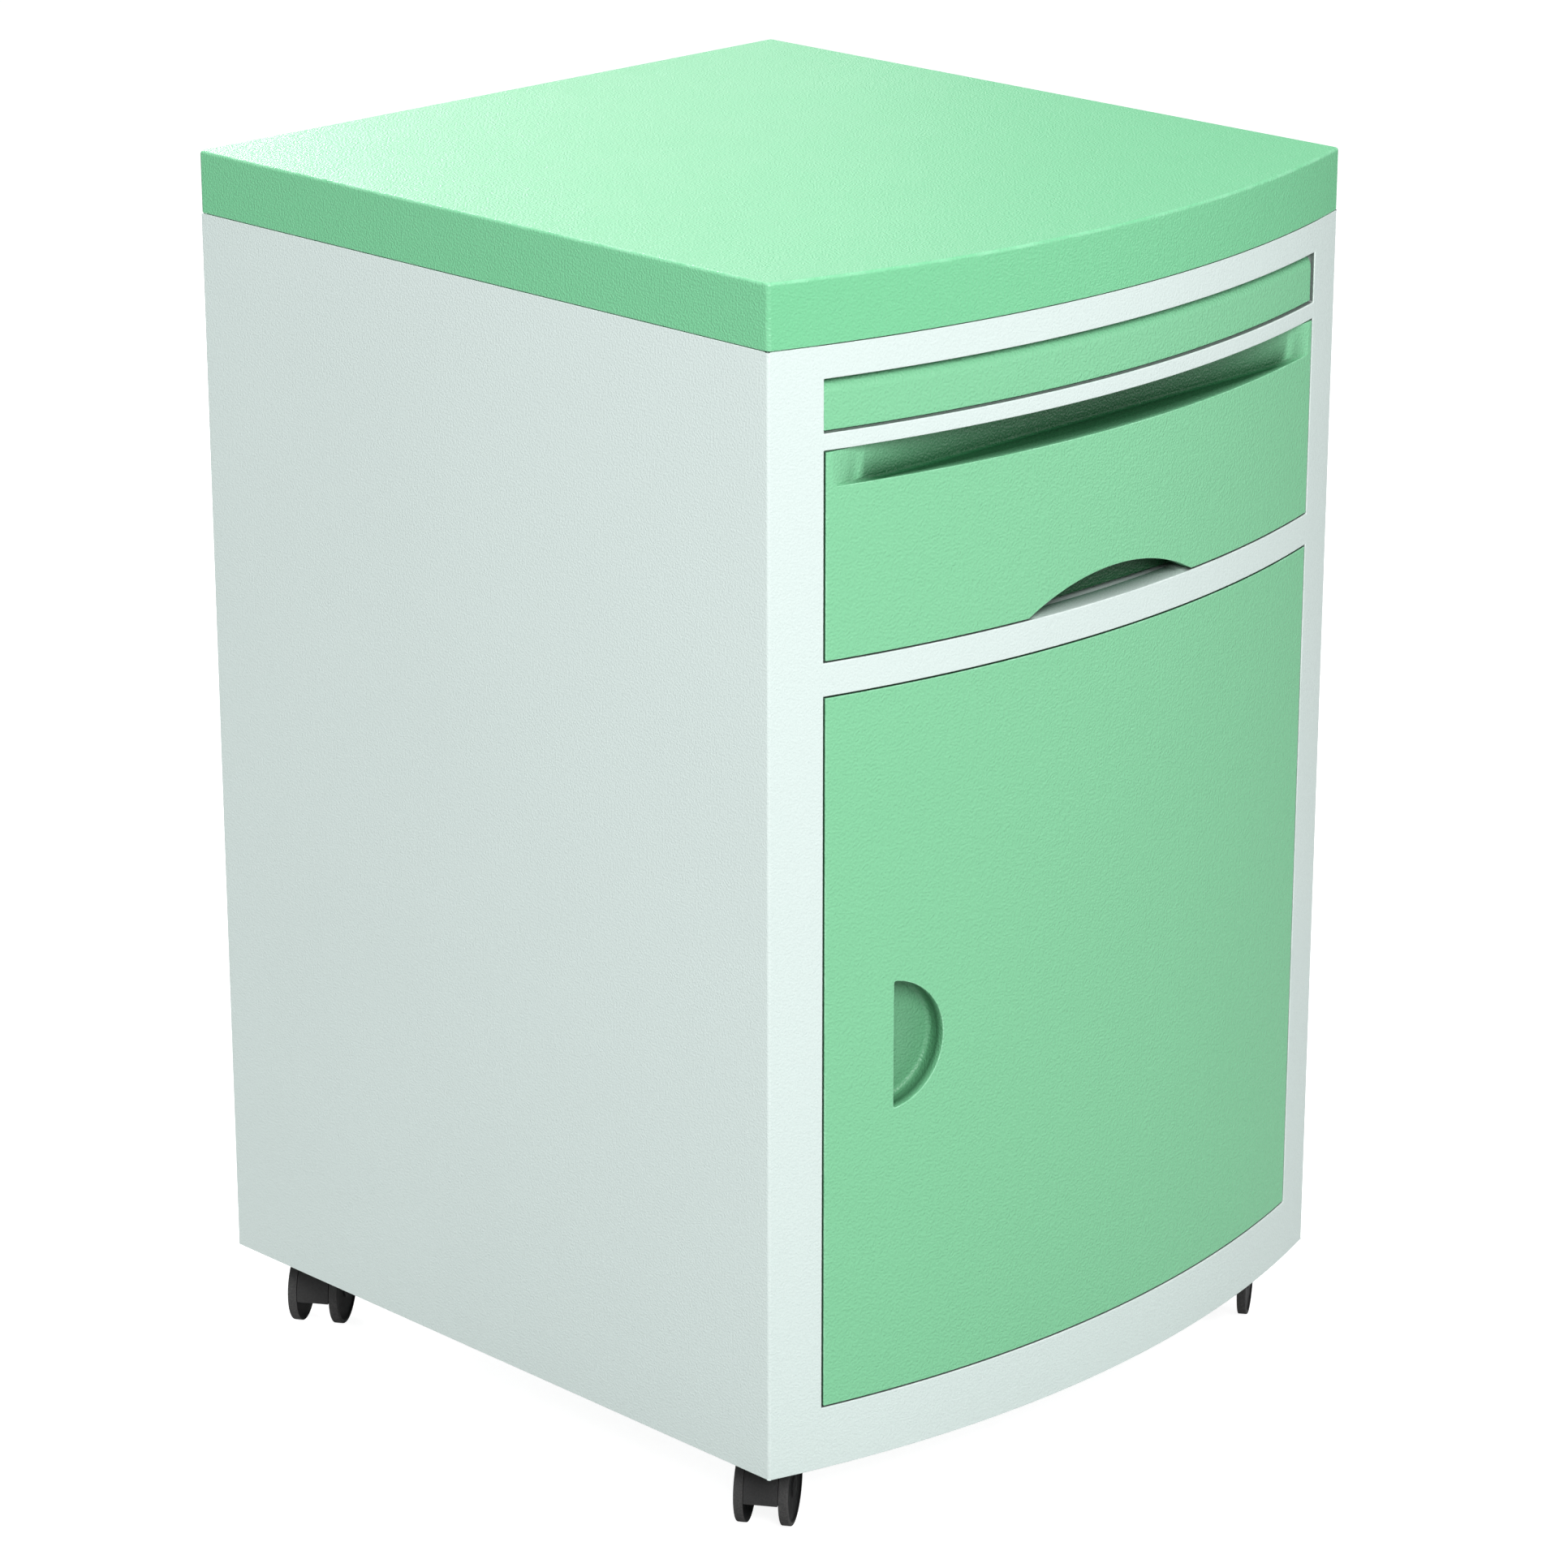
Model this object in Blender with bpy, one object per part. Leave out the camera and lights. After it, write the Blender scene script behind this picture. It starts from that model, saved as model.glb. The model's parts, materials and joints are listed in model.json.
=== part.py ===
"""Hospital bedside cabinet: moulded body on four twin-wheel casters, with a pull-out
tray, a drawer on roller runners and a cupboard door that turns on two pins.

Metres, +Z up. The origin is on the floor under the middle of the cabinet, the bowed
front faces -Y and +X is to the right of a person who faces the front.
"""
from math import acos, asin, cos, pi, radians, sin, sqrt

import bmesh
import bpy
from mathutils import Matrix, Vector

# ---- driving dimensions -------------------------------------------------------------
WIDTH = 0.480            # over the side panels
SIDE_DEPTH = 0.4742      # front corner to back edge, along one side
BOW = 0.0409             # how far the middle of the front stands ahead of its corners
HEIGHT = 0.7565          # floor to the top surface
CASTER_HEIGHT = 0.052    # floor to the underside of the body
TOP_THICK = 0.0374       # depth of the top panel's edge

# walls and clearances
SKIN = 0.004             # moulded outer panels
DECK_THICK = 0.005       # inner decks and the shelf
FRAME_THICK = 0.016      # front frame, face to back
JOIN = 0.0003            # clearance between fixed pieces
TOP_SEAM = 0.0005        # open line under the top panel
FRONT_GAP = 0.0012       # round the door, drawer and tray fronts, sideways
LEVEL_GAP = 0.0010       # above and below them

# front frame, from the floor of the body upwards; the door takes what is left
BOTTOM_RAIL = 0.0384
MIDDLE_RAIL = 0.0193
THIN_RAIL = 0.0097
TOP_RAIL = 0.0186
DRAWER_OPENING = 0.1203
TRAY_OPENING = 0.0303
STILE = 0.0325

# inside
LEDGE = 0.012            # support ledges on the side panels, inwards
LEDGE_THICK = 0.004
LEDGE_FRONT = 0.025      # ledges start this far behind the front corners
LEDGE_BACK = 0.009       # and end this far before the back panel
DECK_DROP = 0.0028       # decks lie this far below the openings' lower edges
RAIL_SETBACK = 0.020     # rails and guides start behind the front corners
BACK_SHORT = 0.002       # back panel ends short of the sides, above and below
REAR_FLANGE = 0.016      # return at the back of each side panel, inwards
BACK_RECESS = 0.004      # back panel lies this far inside the rear edges
SHELF_SETBACK = 0.060    # shelf's front edge behind the frame

# top panel
TOP_WALL = 0.004
TOP_LINER_THICK = 0.003
TOP_RIB = 0.003
TOP_ROUND = 0.0015

# tray
TRAY_SETBACK = 0.002     # tray front behind the frame's face
TRAY_GRIP_ROUND = 0.008  # rounded upper edge of the tray front
TRAY_BOARD_THICK = 0.012
TRAY_BACK_ROOM = 0.034   # behind the board, to the back panel
TRAY_SIDE_ROOM = 0.0075  # board edge from the opening's side
TRAY_FRONT_BACK = 0.002  # flat back of the tray front, behind the front corners
GUIDE_LIP = 0.003
GUIDE_SLACK = 0.0005
GUIDE_GRIP = 0.012       # how deep the board's edge lies in the guide
GUIDE_FOOT = 0.0065      # guide's lower lip above the tray deck
GUIDE_WALL = 0.004

# drawer
SCOOP_DEPTH = 0.0197     # finger scoop along the drawer's upper edge
SCOOP_FALL = 0.0018      # its floor drops this much towards the back
SCOOP_BACK = 0.0120      # its flat back wall, ahead of the front corners
SCOOP_END = 0.0023       # left standing at each end
ARCH_HALF = 0.070        # finger arch in the lower edge
ARCH_RISE = 0.0180
ARCH_BACK = 0.0205       # flat wall behind the arch, ahead of the front corners
DRAWER_FRONT_BACK = 0.004
DRAWER_SKIN = 0.0035
DRAWER_WALL = 0.003
DRAWER_SIDE_ROOM = 0.0175   # box side from the opening's side, for the runners
DRAWER_TOP_ROOM = 0.0148    # box rim below the opening's upper edge
DRAWER_BACK_ROOM = 0.026    # behind the box, to the back panel

# roller runners under the drawer's sides
RUNNER_STEEL = 0.0012
RUNNER_WEB_OUT = 0.0150  # upright web of the fixed rail, outwards of the drawer side
RAIL_FOOT = 0.0160       # the fixed rail's foot on each side of its web, outwards
RAIL_TRACK = 0.0100      # and inwards, the track of the runner's own roller
RAIL_WEB_HEIGHT = 0.030
ROLLER_RADIUS = 0.0065
ROLLER_WIDTH = 0.006
ROLLER_PIN = 0.002
ROLLER_OFF_WEB = 0.002   # roller's face from the rail's web
ROLLER_STEP = 0.0084     # the front roller stands this much above the back one
ROLLER_IN = 0.010        # roller axis from the end of its rail or runner
RUNNER_SEAT = 0.012      # flange under the drawer box
RUNNER_LIFT = 0.0028     # runner's flange above the fixed rail's track
RAIL_BACK_ROOM = 0.016   # rail's back end from the back panel
RUNNER_BACK_ROOM = 0.037

# door
DOOR_DEPTH = 0.020       # shell
DOOR_SKIN = 0.0035
DOOR_LINER = 0.0025
LINER_IN = 0.0015        # liner's edges inside the shell's edges
HINGE_IN = 0.014         # pin axis from the door's hinge edge
HINGE_BACK = 0.0052      # pin axis behind the face at that edge
PIN_RADIUS = 0.003
PIN_REACH = 0.013        # each pin's length in the frame, and again in the door
BUSH_RADIUS = 0.0058
BUSH_LENGTH = 0.0145
CUP_FROM_EDGE = 0.0443   # flat edge of the handle cup from the door's free edge
CUP_WIDTH = 0.0334
CUP_RADIUS = 0.039
CUP_Z = 0.2534           # its middle above the body's underside
CUP_WALL = 0.0025
CUP_BACK_ROOM = 0.003    # cup's wall ahead of the shell's back
CUP_LIP = 0.005          # thickness of the edge that the fingers hook behind
CUP_UNDERCUT = 0.010
CUP_HOOK_IN = 0.006      # the undercut ends this much short of the cup's ends
HINGE_STILE = 0.010      # solid part of the shell beside the pin axis
CATCH_FROM_EDGE = 0.036  # magnetic catch, from the door's free edge
CATCH_HALF = 0.015
CATCH_DEPTH = 0.016
CATCH_DROP = 0.028
STRIKE_HALF = 0.012
STRIKE_THICK = 0.0011
MAGNET_AIR = 0.0018      # magnet behind the door's liner
MAGNET_DEPTH = 0.0057
MAGNET_HEIGHT = 0.008
MAGNET_LIFT = 0.003      # above the housing's lower edge
MAGNET_PROUD = 0.001     # ahead of the housing's face

# casters
WHEEL_CLEAR = 0.005      # wheel top to the underside of the body
CASTER_HALF = 0.0163     # half the width over both wheels
TREAD = 0.0058
CASTER_TRAIL = 0.005     # wheel axle from the swivel axis
CASTER_INSET_X = 0.0332   # swivel axis from the side
CASTER_INSET_FRONT = 0.0353
CASTER_INSET_BACK = 0.0396
CASTER_HEADING = 33.5    # degrees, rolling direction at rest
HOOD_CUT = 0.0205        # hood's lower edge above the floor
HOOD_NECK_IN = 0.0012    # hood's neck narrower than the hood, each side
WHEEL_EDGE = 0.0006      # bevel of the wheel's rims
WHEEL_FACE = 0.001       # wall over the axle's end
AXLE_END = 0.0015        # axle's end inside the wheel's face
STEM_RADIUS = 0.004
STEM_COLLAR = 0.007
STEM_COLLAR_THICK = 0.002
STEM_REACH = 0.023       # inside the block
AXLE_RADIUS = 0.002
BLOCK_HALF = 0.0165
TURNING = 0.0003         # radial clearance of turning parts

CUT_PAST = 0.010         # cutters run this far past an open side
ARC_STEPS = 24           # straight steps along the bowed front
ARCH_STEPS = 16          # along the finger arch and the handle cup
ROUND_STEPS = 24         # sides of turned pieces

# ---- what follows from them ---------------------------------------------------------
HALF = WIDTH / 2
BACK_Y = (SIDE_DEPTH + BOW) / 2
CORNER_Y = BACK_Y - SIDE_DEPTH
BOW_RADIUS = (HALF ** 2 + BOW ** 2) / (2 * BOW)
BOW_CENTRE_Y = CORNER_Y - BOW + BOW_RADIUS

BODY_Z0 = CASTER_HEIGHT
BODY_Z1 = HEIGHT - TOP_THICK - TOP_SEAM
DOOR_Z0 = BODY_Z0 + BOTTOM_RAIL
TRAY_Z1 = BODY_Z1 - TOP_RAIL
TRAY_Z0 = TRAY_Z1 - TRAY_OPENING
DRAWER_Z1 = TRAY_Z0 - THIN_RAIL
DRAWER_Z0 = DRAWER_Z1 - DRAWER_OPENING
DOOR_Z1 = DRAWER_Z0 - MIDDLE_RAIL

OPENING_HALF = HALF - STILE
FRONT_HALF = OPENING_HALF - FRONT_GAP
CUP_EDGE = FRONT_HALF - CUP_FROM_EDGE
CUP_DEPTH = DOOR_DEPTH - CUP_BACK_ROOM - CUP_WALL
WHEEL_RADIUS = (CASTER_HEIGHT - WHEEL_CLEAR) / 2
INNER_HALF = HALF - SKIN - JOIN
REAR_PANEL_Y = BACK_Y - BACK_RECESS - SKIN
DECK_BACK_Y = REAR_PANEL_Y - JOIN
DECK_INSET = FRAME_THICK + JOIN
DRAWER_BOX_HALF = OPENING_HALF - DRAWER_SIDE_ROOM
RAIL_FRONT_Y = CORNER_Y + RAIL_SETBACK
RAIL_END_Y = DECK_BACK_Y - RAIL_BACK_ROOM

BASE_Z1 = DOOR_Z0 - DECK_DROP
DRAWER_DECK_Z1 = DRAWER_Z0 - DECK_DROP
TRAY_DECK_Z1 = TRAY_Z0 - DECK_DROP
SHELF_Z1 = (BASE_Z1 + DRAWER_DECK_Z1) / 2

MINT = (0.33, 0.72, 0.46)
PALE = (0.75, 0.85, 0.82)
STEEL = (0.62, 0.64, 0.66)
NYLON = (0.86, 0.86, 0.82)
BLACK = (0.045, 0.045, 0.047)
FERRITE = (0.10, 0.10, 0.11)


# ---- the bowed front ----------------------------------------------------------------
def face_y(x, inset=0.0):
    """The front surface at x, or a surface that lies inset behind it."""
    return BOW_CENTRE_Y - sqrt((BOW_RADIUS - inset) ** 2 - x * x)


def arc(x0, x1, inset=0.0, steps=ARC_STEPS):
    """Plan points along the bow from x0 to x1."""
    radius = BOW_RADIUS - inset
    a0, a1 = asin(x0 / radius), asin(x1 / radius)
    angles = [a0 + (a1 - a0) * i / steps for i in range(steps + 1)]
    return [(radius * sin(a), BOW_CENTRE_Y - radius * cos(a)) for a in angles]


def square_to_bow(x):
    """Turns a piece built square, its +Y inwards, to stand at x on the bow."""
    angle = asin(x / BOW_RADIUS)
    return Matrix.Translation((x, face_y(x), 0)) @ Matrix.Rotation(angle, 4, "Z")


# ---- meshes -------------------------------------------------------------------------
def outward(bm):
    """Turns every face of a closed mesh to point out of it."""
    bmesh.ops.recalc_face_normals(bm, faces=bm.faces)
    if bm.calc_volume(signed=True) < 0:
        bmesh.ops.reverse_faces(bm, faces=bm.faces)
    return bm


def prism(outline, z0, z1):
    """A plan outline drawn up from z0 to z1."""
    bm = bmesh.new()
    face = bm.faces.new([bm.verts.new((x, y, z0)) for x, y in outline])
    grown = bmesh.ops.extrude_face_region(bm, geom=[face])["geom"]
    tops = [v for v in grown if isinstance(v, bmesh.types.BMVert)]
    bmesh.ops.translate(bm, verts=tops, vec=(0, 0, z1 - z0))
    return outward(bm)


def block(x0, x1, y0, y1, z0, z1):
    return prism([(x0, y0), (x1, y0), (x1, y1), (x0, y1)], z0, z1)


def along_y(section, y0, y1):
    """A cross-section in x and z, drawn along y."""
    bm = prism(section, y0, y1)
    for v in bm.verts:
        v.co = Vector((v.co.x, v.co.z, v.co.y))
    return outward(bm)


def bowed(x0, x1, inset, back_inset, z0, z1):
    """A curved slab between two depths behind the front surface."""
    return prism(arc(x0, x1, inset) + arc(x1, x0, back_inset), z0, z1)


def flat_backed(half, inset, back_y, z0, z1):
    """A slab with a bowed front edge and a straight back edge."""
    return prism(arc(-half, half, inset) + [(half, back_y), (-half, back_y)], z0, z1)


def turned(profile, steps=ROUND_STEPS):
    """A closed (radius, height) outline turned about Z."""
    bm = bmesh.new()
    verts = [bm.verts.new((r, 0, z)) for r, z in profile]
    edges = [bm.edges.new((a, b)) for a, b in zip(verts, verts[1:] + verts[:1])]
    bmesh.ops.spin(bm, geom=verts + edges, axis=(0, 0, 1), cent=(0, 0, 0), steps=steps,
                   angle=2 * pi, use_merge=True)
    bmesh.ops.remove_doubles(bm, verts=bm.verts, dist=1e-6)
    bmesh.ops.dissolve_degenerate(bm, edges=bm.edges, dist=1e-6)
    return outward(bm)


def disc(radius, z0, z1):
    """A plain round bar standing on Z."""
    return turned([(0, z0), (radius, z0), (radius, z1), (0, z1)])


def ring(inner, outer, z0, z1):
    return turned([(inner, z0), (outer, z0), (outer, z1), (inner, z1)])


def moved(bm, matrix):
    bmesh.ops.transform(bm, matrix=matrix, verts=bm.verts)
    return bm


def at(x, y, z):
    return Matrix.Translation((x, y, z))


LAY_ON_X = Matrix.Rotation(pi / 2, 4, "Y")    # turns Z to +X
LAY_ON_Y = Matrix.Rotation(-pi / 2, 4, "X")   # turns Z to +Y


# ---- objects ------------------------------------------------------------------------
def clear_scene():
    for obj in list(bpy.data.objects):
        bpy.data.objects.remove(obj, do_unlink=True)


def finish_material(name, colour, roughness, metallic):
    material = bpy.data.materials.new(name)
    material.use_nodes = True
    shader = material.node_tree.nodes["Principled BSDF"]
    shader.inputs["Base Color"].default_value = (*colour, 1)
    shader.inputs["Roughness"].default_value = roughness
    shader.inputs["Metallic"].default_value = metallic
    return material


def mesh_object(name, bm, axis=None, round_piece=False):
    """An object from a mesh. Under an axis empty the mesh is given in the empty's frame."""
    mesh = bpy.data.meshes.new(name)
    bm.to_mesh(mesh)
    bm.free()
    if round_piece:
        mesh.shade_smooth()
        mesh.set_sharp_from_angle(angle=radians(35))
    obj = bpy.data.objects.new(name, mesh)
    bpy.context.scene.collection.objects.link(obj)
    obj.parent = axis
    return obj


def piece(name, bm, colour, roughness=0.45, metallic=0.0, axis=None, round_piece=False):
    obj = mesh_object(name, bm, axis, round_piece)
    obj.data.materials.append(finish_material(name, colour, roughness, metallic))
    return obj


def combine(obj, bm, operation):
    """Adds a Boolean of obj with a hidden helper shape."""
    helper = mesh_object(f"{obj.name}_{operation.lower()}_{len(obj.modifiers)}", bm, obj.parent)
    helper.hide_render = True
    helper.display_type = "WIRE"
    modifier = obj.modifiers.new(helper.name, "BOOLEAN")
    modifier.operation = operation
    modifier.object = helper
    modifier.solver = "EXACT"
    return helper


def cut(obj, bm):
    return combine(obj, bm, "DIFFERENCE")


def add(obj, bm):
    return combine(obj, bm, "UNION")


def axis_empty(name, x, y, z, turn=0.0, parent=None):
    """An empty on a joint's axis; parts under it are built round its own origin."""
    empty = bpy.data.objects.new(name, None)
    bpy.context.scene.collection.objects.link(empty)
    empty.parent = parent
    empty.location = (x, y, z)
    empty.rotation_euler = (0, 0, turn)
    return empty


# ---- body ---------------------------------------------------------------------------
def build_top():
    """Moulded top with a turned-down edge and ribs, and the liner that closes it."""
    z0 = HEIGHT - TOP_THICK
    bm = flat_backed(HALF, 0, BACK_Y, z0, HEIGHT)
    rim = [e for e in bm.edges if all(v.co.z > HEIGHT - 1e-6 for v in e.verts)]
    bmesh.ops.bevel(bm, geom=rim, offset=TOP_ROUND, segments=2, affect="EDGES", profile=0.5)
    top = piece("top_panel", bm, MINT, 0.42)
    hollow = flat_backed(HALF - TOP_WALL, TOP_WALL, BACK_Y - TOP_WALL,
                         z0 - CUT_PAST, HEIGHT - TOP_WALL)
    hollow_cutter = cut(top, hollow)
    rib_z0 = z0 + TOP_LINER_THICK + 2 * JOIN
    for sign in (-1, 1):
        x = sign * WIDTH / 6
        cut(hollow_cutter, block(x - TOP_RIB / 2, x + TOP_RIB / 2, CORNER_Y - BOW, BACK_Y,
                                 rib_z0, HEIGHT))
    liner = flat_backed(HALF - TOP_WALL - JOIN, TOP_WALL + JOIN, BACK_Y - TOP_WALL - JOIN,
                        z0, z0 + TOP_LINER_THICK)
    piece("top_liner", liner, PALE, 0.5)


def side_outline():
    """Plan of the right side panel: skin, mitred front end and rear return."""
    mitre = JOIN / sqrt(2)
    inner = HALF - SKIN
    flange_y = DECK_BACK_Y - SKIN + JOIN
    return [(HALF, CORNER_Y + mitre), (HALF, BACK_Y), (inner, BACK_Y), (inner, DECK_BACK_Y),
            (inner - REAR_FLANGE, DECK_BACK_Y), (inner - REAR_FLANGE, flange_y),
            (inner, flange_y), (inner, CORNER_Y + SKIN + mitre)]


def build_sides():
    for name, sign in (("left_side_panel", -1), ("right_side_panel", 1)):
        outline = [(sign * x, y) for x, y in side_outline()]
        panel = piece(name, prism(outline, BODY_Z0, BODY_Z1), PALE, 0.5)
        inner = HALF - SKIN
        for level in (BASE_Z1, SHELF_Z1, DRAWER_DECK_Z1, TRAY_DECK_Z1):
            z1 = level - DECK_THICK - JOIN
            ledge_xs = sorted((sign * (inner - LEDGE), sign * (inner + SKIN / 2)))
            add(panel, block(*ledge_xs, CORNER_Y + LEDGE_FRONT, DECK_BACK_Y - LEDGE_BACK,
                             z1 - LEDGE_THICK, z1))


def build_back():
    panel = block(-INNER_HALF, INNER_HALF, REAR_PANEL_Y, REAR_PANEL_Y + SKIN,
                  BODY_Z0 + BACK_SHORT, BODY_Z1 - BACK_SHORT)
    piece("back_panel", panel, PALE, 0.5)


def deck(name, z1, front_inset=DECK_INSET):
    outline = (arc(-INNER_HALF, INNER_HALF, front_inset)
               + [(INNER_HALF, DECK_BACK_Y - SKIN - JOIN), (-INNER_HALF, DECK_BACK_Y - SKIN - JOIN)])
    return piece(name, prism(outline, z1 - DECK_THICK, z1), PALE, 0.5)


def build_decks():
    deck("base_panel", BASE_Z1)
    deck("drawer_deck", DRAWER_DECK_Z1)
    deck("tray_deck", TRAY_DECK_Z1)
    deck("cupboard_shelf", SHELF_Z1, DECK_INSET + SHELF_SETBACK)


def hinge_axis():
    """Plan position of the door's two pins."""
    return FRONT_HALF - HINGE_IN, face_y(FRONT_HALF) + HINGE_BACK


def build_frame():
    """Bowed front frame, mitred to the side panels, with three openings."""
    mitre = JOIN / sqrt(2)
    face = arc(-HALF + mitre, HALF - mitre)
    inner = INNER_HALF
    outline = face + [(inner, face[-1][1] + face[-1][0] - inner)]
    outline += arc(inner, -inner, FRAME_THICK)
    outline += [(-inner, face[0][1] + face[-1][0] - inner)]
    frame = piece("front_frame", prism(outline, BODY_Z0, BODY_Z1), PALE, 0.5)
    reach = (CORNER_Y - BOW - CUT_PAST, CORNER_Y + 2 * FRAME_THICK)
    for z0, z1 in ((DOOR_Z0, DOOR_Z1), (DRAWER_Z0, DRAWER_Z1), (TRAY_Z0, TRAY_Z1)):
        cut(frame, block(-OPENING_HALF, OPENING_HALF, *reach, z0, z1))
    x, y = hinge_axis()
    bore = PIN_RADIUS + TURNING
    cut(frame, moved(disc(bore, -PIN_REACH, CUT_PAST), at(x, y, DOOR_Z0)))
    cut(frame, moved(disc(bore, -CUT_PAST, PIN_REACH), at(x, y, DOOR_Z1)))
    for name, middle in (("lower_hinge_pin", DOOR_Z0), ("upper_hinge_pin", DOOR_Z1)):
        pin = disc(PIN_RADIUS, JOIN - PIN_REACH, PIN_REACH - JOIN)
        piece(name, moved(pin, at(x, y, middle)), STEEL, 0.3, 1.0, round_piece=True)


def build_catch():
    """Magnetic catch under the drawer deck, behind the door's free upper corner."""
    x = CATCH_FROM_EDGE - FRONT_HALF
    front = DOOR_DEPTH + JOIN + DOOR_LINER + MAGNET_AIR
    top = DRAWER_DECK_Z1 - DECK_THICK - JOIN
    turn = square_to_bow(x)
    housing = piece("catch_housing", moved(block(-CATCH_HALF, CATCH_HALF, front + MAGNET_PROUD,
                    front + CATCH_DEPTH, top - CATCH_DROP, top), turn), NYLON, 0.4)
    z0 = top - CATCH_DROP + MAGNET_LIFT
    z1 = z0 + MAGNET_HEIGHT
    cut(housing, moved(block(-STRIKE_HALF - JOIN, STRIKE_HALF + JOIN, front - MAGNET_PROUD,
                             front + MAGNET_DEPTH + JOIN, z0 - JOIN, z1 + JOIN), turn))
    magnet = block(-STRIKE_HALF, STRIKE_HALF, front, front + MAGNET_DEPTH, z0, z1)
    piece("catch_magnet", moved(magnet, turn), FERRITE, 0.6)
    return x, front, z0, z1


# ---- tray ---------------------------------------------------------------------------
def tray_board_levels():
    z0 = TRAY_DECK_Z1 + JOIN + GUIDE_FOOT + GUIDE_SLACK
    return z0, z0 + TRAY_BOARD_THICK


def build_tray():
    z0, z1 = tray_board_levels()
    half = OPENING_HALF - TRAY_SIDE_ROOM
    back = CORNER_Y + TRAY_FRONT_BACK
    slide = axis_empty("tray_slide_axis", 0, CORNER_Y, z0)
    local = at(0, -CORNER_Y, -z0)
    bm = flat_backed(FRONT_HALF, TRAY_SETBACK, back, TRAY_Z0 + LEVEL_GAP, TRAY_Z1 - LEVEL_GAP)
    grip = [e for e in bm.edges
            if all(v.co.z > TRAY_Z1 - LEVEL_GAP - 1e-6 and v.co.y < back - 1e-6 for v in e.verts)]
    bmesh.ops.bevel(bm, geom=grip, offset=TRAY_GRIP_ROUND, segments=4, affect="EDGES", profile=0.5)
    piece("tray_front", moved(bm, local), MINT, 0.42, axis=slide)
    board = block(-half, half, back + JOIN, DECK_BACK_Y - TRAY_BACK_ROOM, z0, z1)
    piece("tray_board", moved(board, local), PALE, 0.42, axis=slide)

    foot = TRAY_DECK_Z1 + JOIN
    slot0, slot1 = z0 - GUIDE_SLACK, z1 + GUIDE_SLACK
    lip, slot, wall = half - GUIDE_GRIP, half + GUIDE_SLACK, half + GUIDE_SLACK + GUIDE_WALL
    flange = HALF - SKIN - LEDGE
    section = [(lip, foot), (flange, foot), (flange, foot + GUIDE_LIP), (wall, foot + GUIDE_LIP),
               (wall, slot1 + GUIDE_LIP), (lip, slot1 + GUIDE_LIP), (lip, slot1), (slot, slot1),
               (slot, slot0), (lip, slot0)]
    for name, sign in (("tray_guide_left", -1), ("tray_guide_right", 1)):
        profile = [(sign * x, z) for x, z in section]
        piece(name, along_y(profile, RAIL_FRONT_Y, RAIL_END_Y), NYLON, 0.4)


# ---- drawer -------------------------------------------------------------------------
def arch_prism(half, rise, z0, back_y):
    """The finger arch as a solid: a flat-bottomed round segment reaching back to back_y."""
    radius = (half ** 2 + rise ** 2) / (2 * rise)
    edge = asin(half / radius)
    angles = [edge * (1 - 2 * i / ARCH_STEPS) for i in range(ARCH_STEPS + 1)]
    section = [(radius * sin(a), z0 + rise - radius + radius * cos(a)) for a in angles]
    section += [(-half, z0 - CUT_PAST), (half, z0 - CUT_PAST)]
    return along_y(section, CORNER_Y - BOW - CUT_PAST, back_y)


def build_drawer_front(slide, local):
    z0, z1 = DRAWER_Z0 + LEVEL_GAP, DRAWER_Z1 - LEVEL_GAP
    back = CORNER_Y + DRAWER_FRONT_BACK
    front = piece("drawer_front", moved(flat_backed(FRONT_HALF, 0, back, z0, z1), local),
                  MINT, 0.42, axis=slide)
    scoop_half = FRONT_HALF - SCOOP_END
    scoop_back = CORNER_Y - SCOOP_BACK
    lip_z = z1 - SCOOP_DEPTH
    scoop = block(-scoop_half, scoop_half, CORNER_Y - BOW - CUT_PAST, scoop_back, lip_z,
                  z1 + CUT_PAST)
    for v in scoop.verts:
        if v.co.z < z1 and v.co.y > scoop_back - 1e-6:
            v.co.z -= SCOOP_FALL
    arch_back = CORNER_Y - ARCH_BACK
    hollow = flat_backed(FRONT_HALF - DRAWER_SKIN, DRAWER_SKIN, back + CUT_PAST,
                         z0 + DRAWER_SKIN, lip_z - SCOOP_FALL - DRAWER_SKIN)
    hollow_cutter = cut(front, moved(hollow, local))
    cut(hollow_cutter, moved(arch_prism(ARCH_HALF + DRAWER_SKIN, ARCH_RISE + DRAWER_SKIN, z0,
                                        arch_back + DRAWER_SKIN), local))
    cut(front, moved(scoop, local))
    cut(front, moved(arch_prism(ARCH_HALF, ARCH_RISE, z0, arch_back), local))


def build_drawer():
    box_z0 = DRAWER_DECK_Z1 + 2 * JOIN + RUNNER_STEEL * 2 + RUNNER_LIFT
    box_z1 = DRAWER_Z1 - DRAWER_TOP_ROOM
    slide = axis_empty("drawer_slide_axis", 0, CORNER_Y, DRAWER_Z0)
    local = at(0, -CORNER_Y, -DRAWER_Z0)
    build_drawer_front(slide, local)
    y0 = CORNER_Y + DRAWER_FRONT_BACK + JOIN
    y1 = DECK_BACK_Y - DRAWER_BACK_ROOM
    half, wall = DRAWER_BOX_HALF, DRAWER_WALL
    box = piece("drawer_box", moved(block(-half, half, y0, y1, box_z0, box_z1), local),
                PALE, 0.45, axis=slide)
    cut(box, moved(block(wall - half, half - wall, y0 + wall, y1 - wall, box_z0 + wall,
                         box_z1 + CUT_PAST), local))
    for side, sign in (("left", -1), ("right", 1)):
        build_runner(side, sign, slide, local, box_z0)


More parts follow.
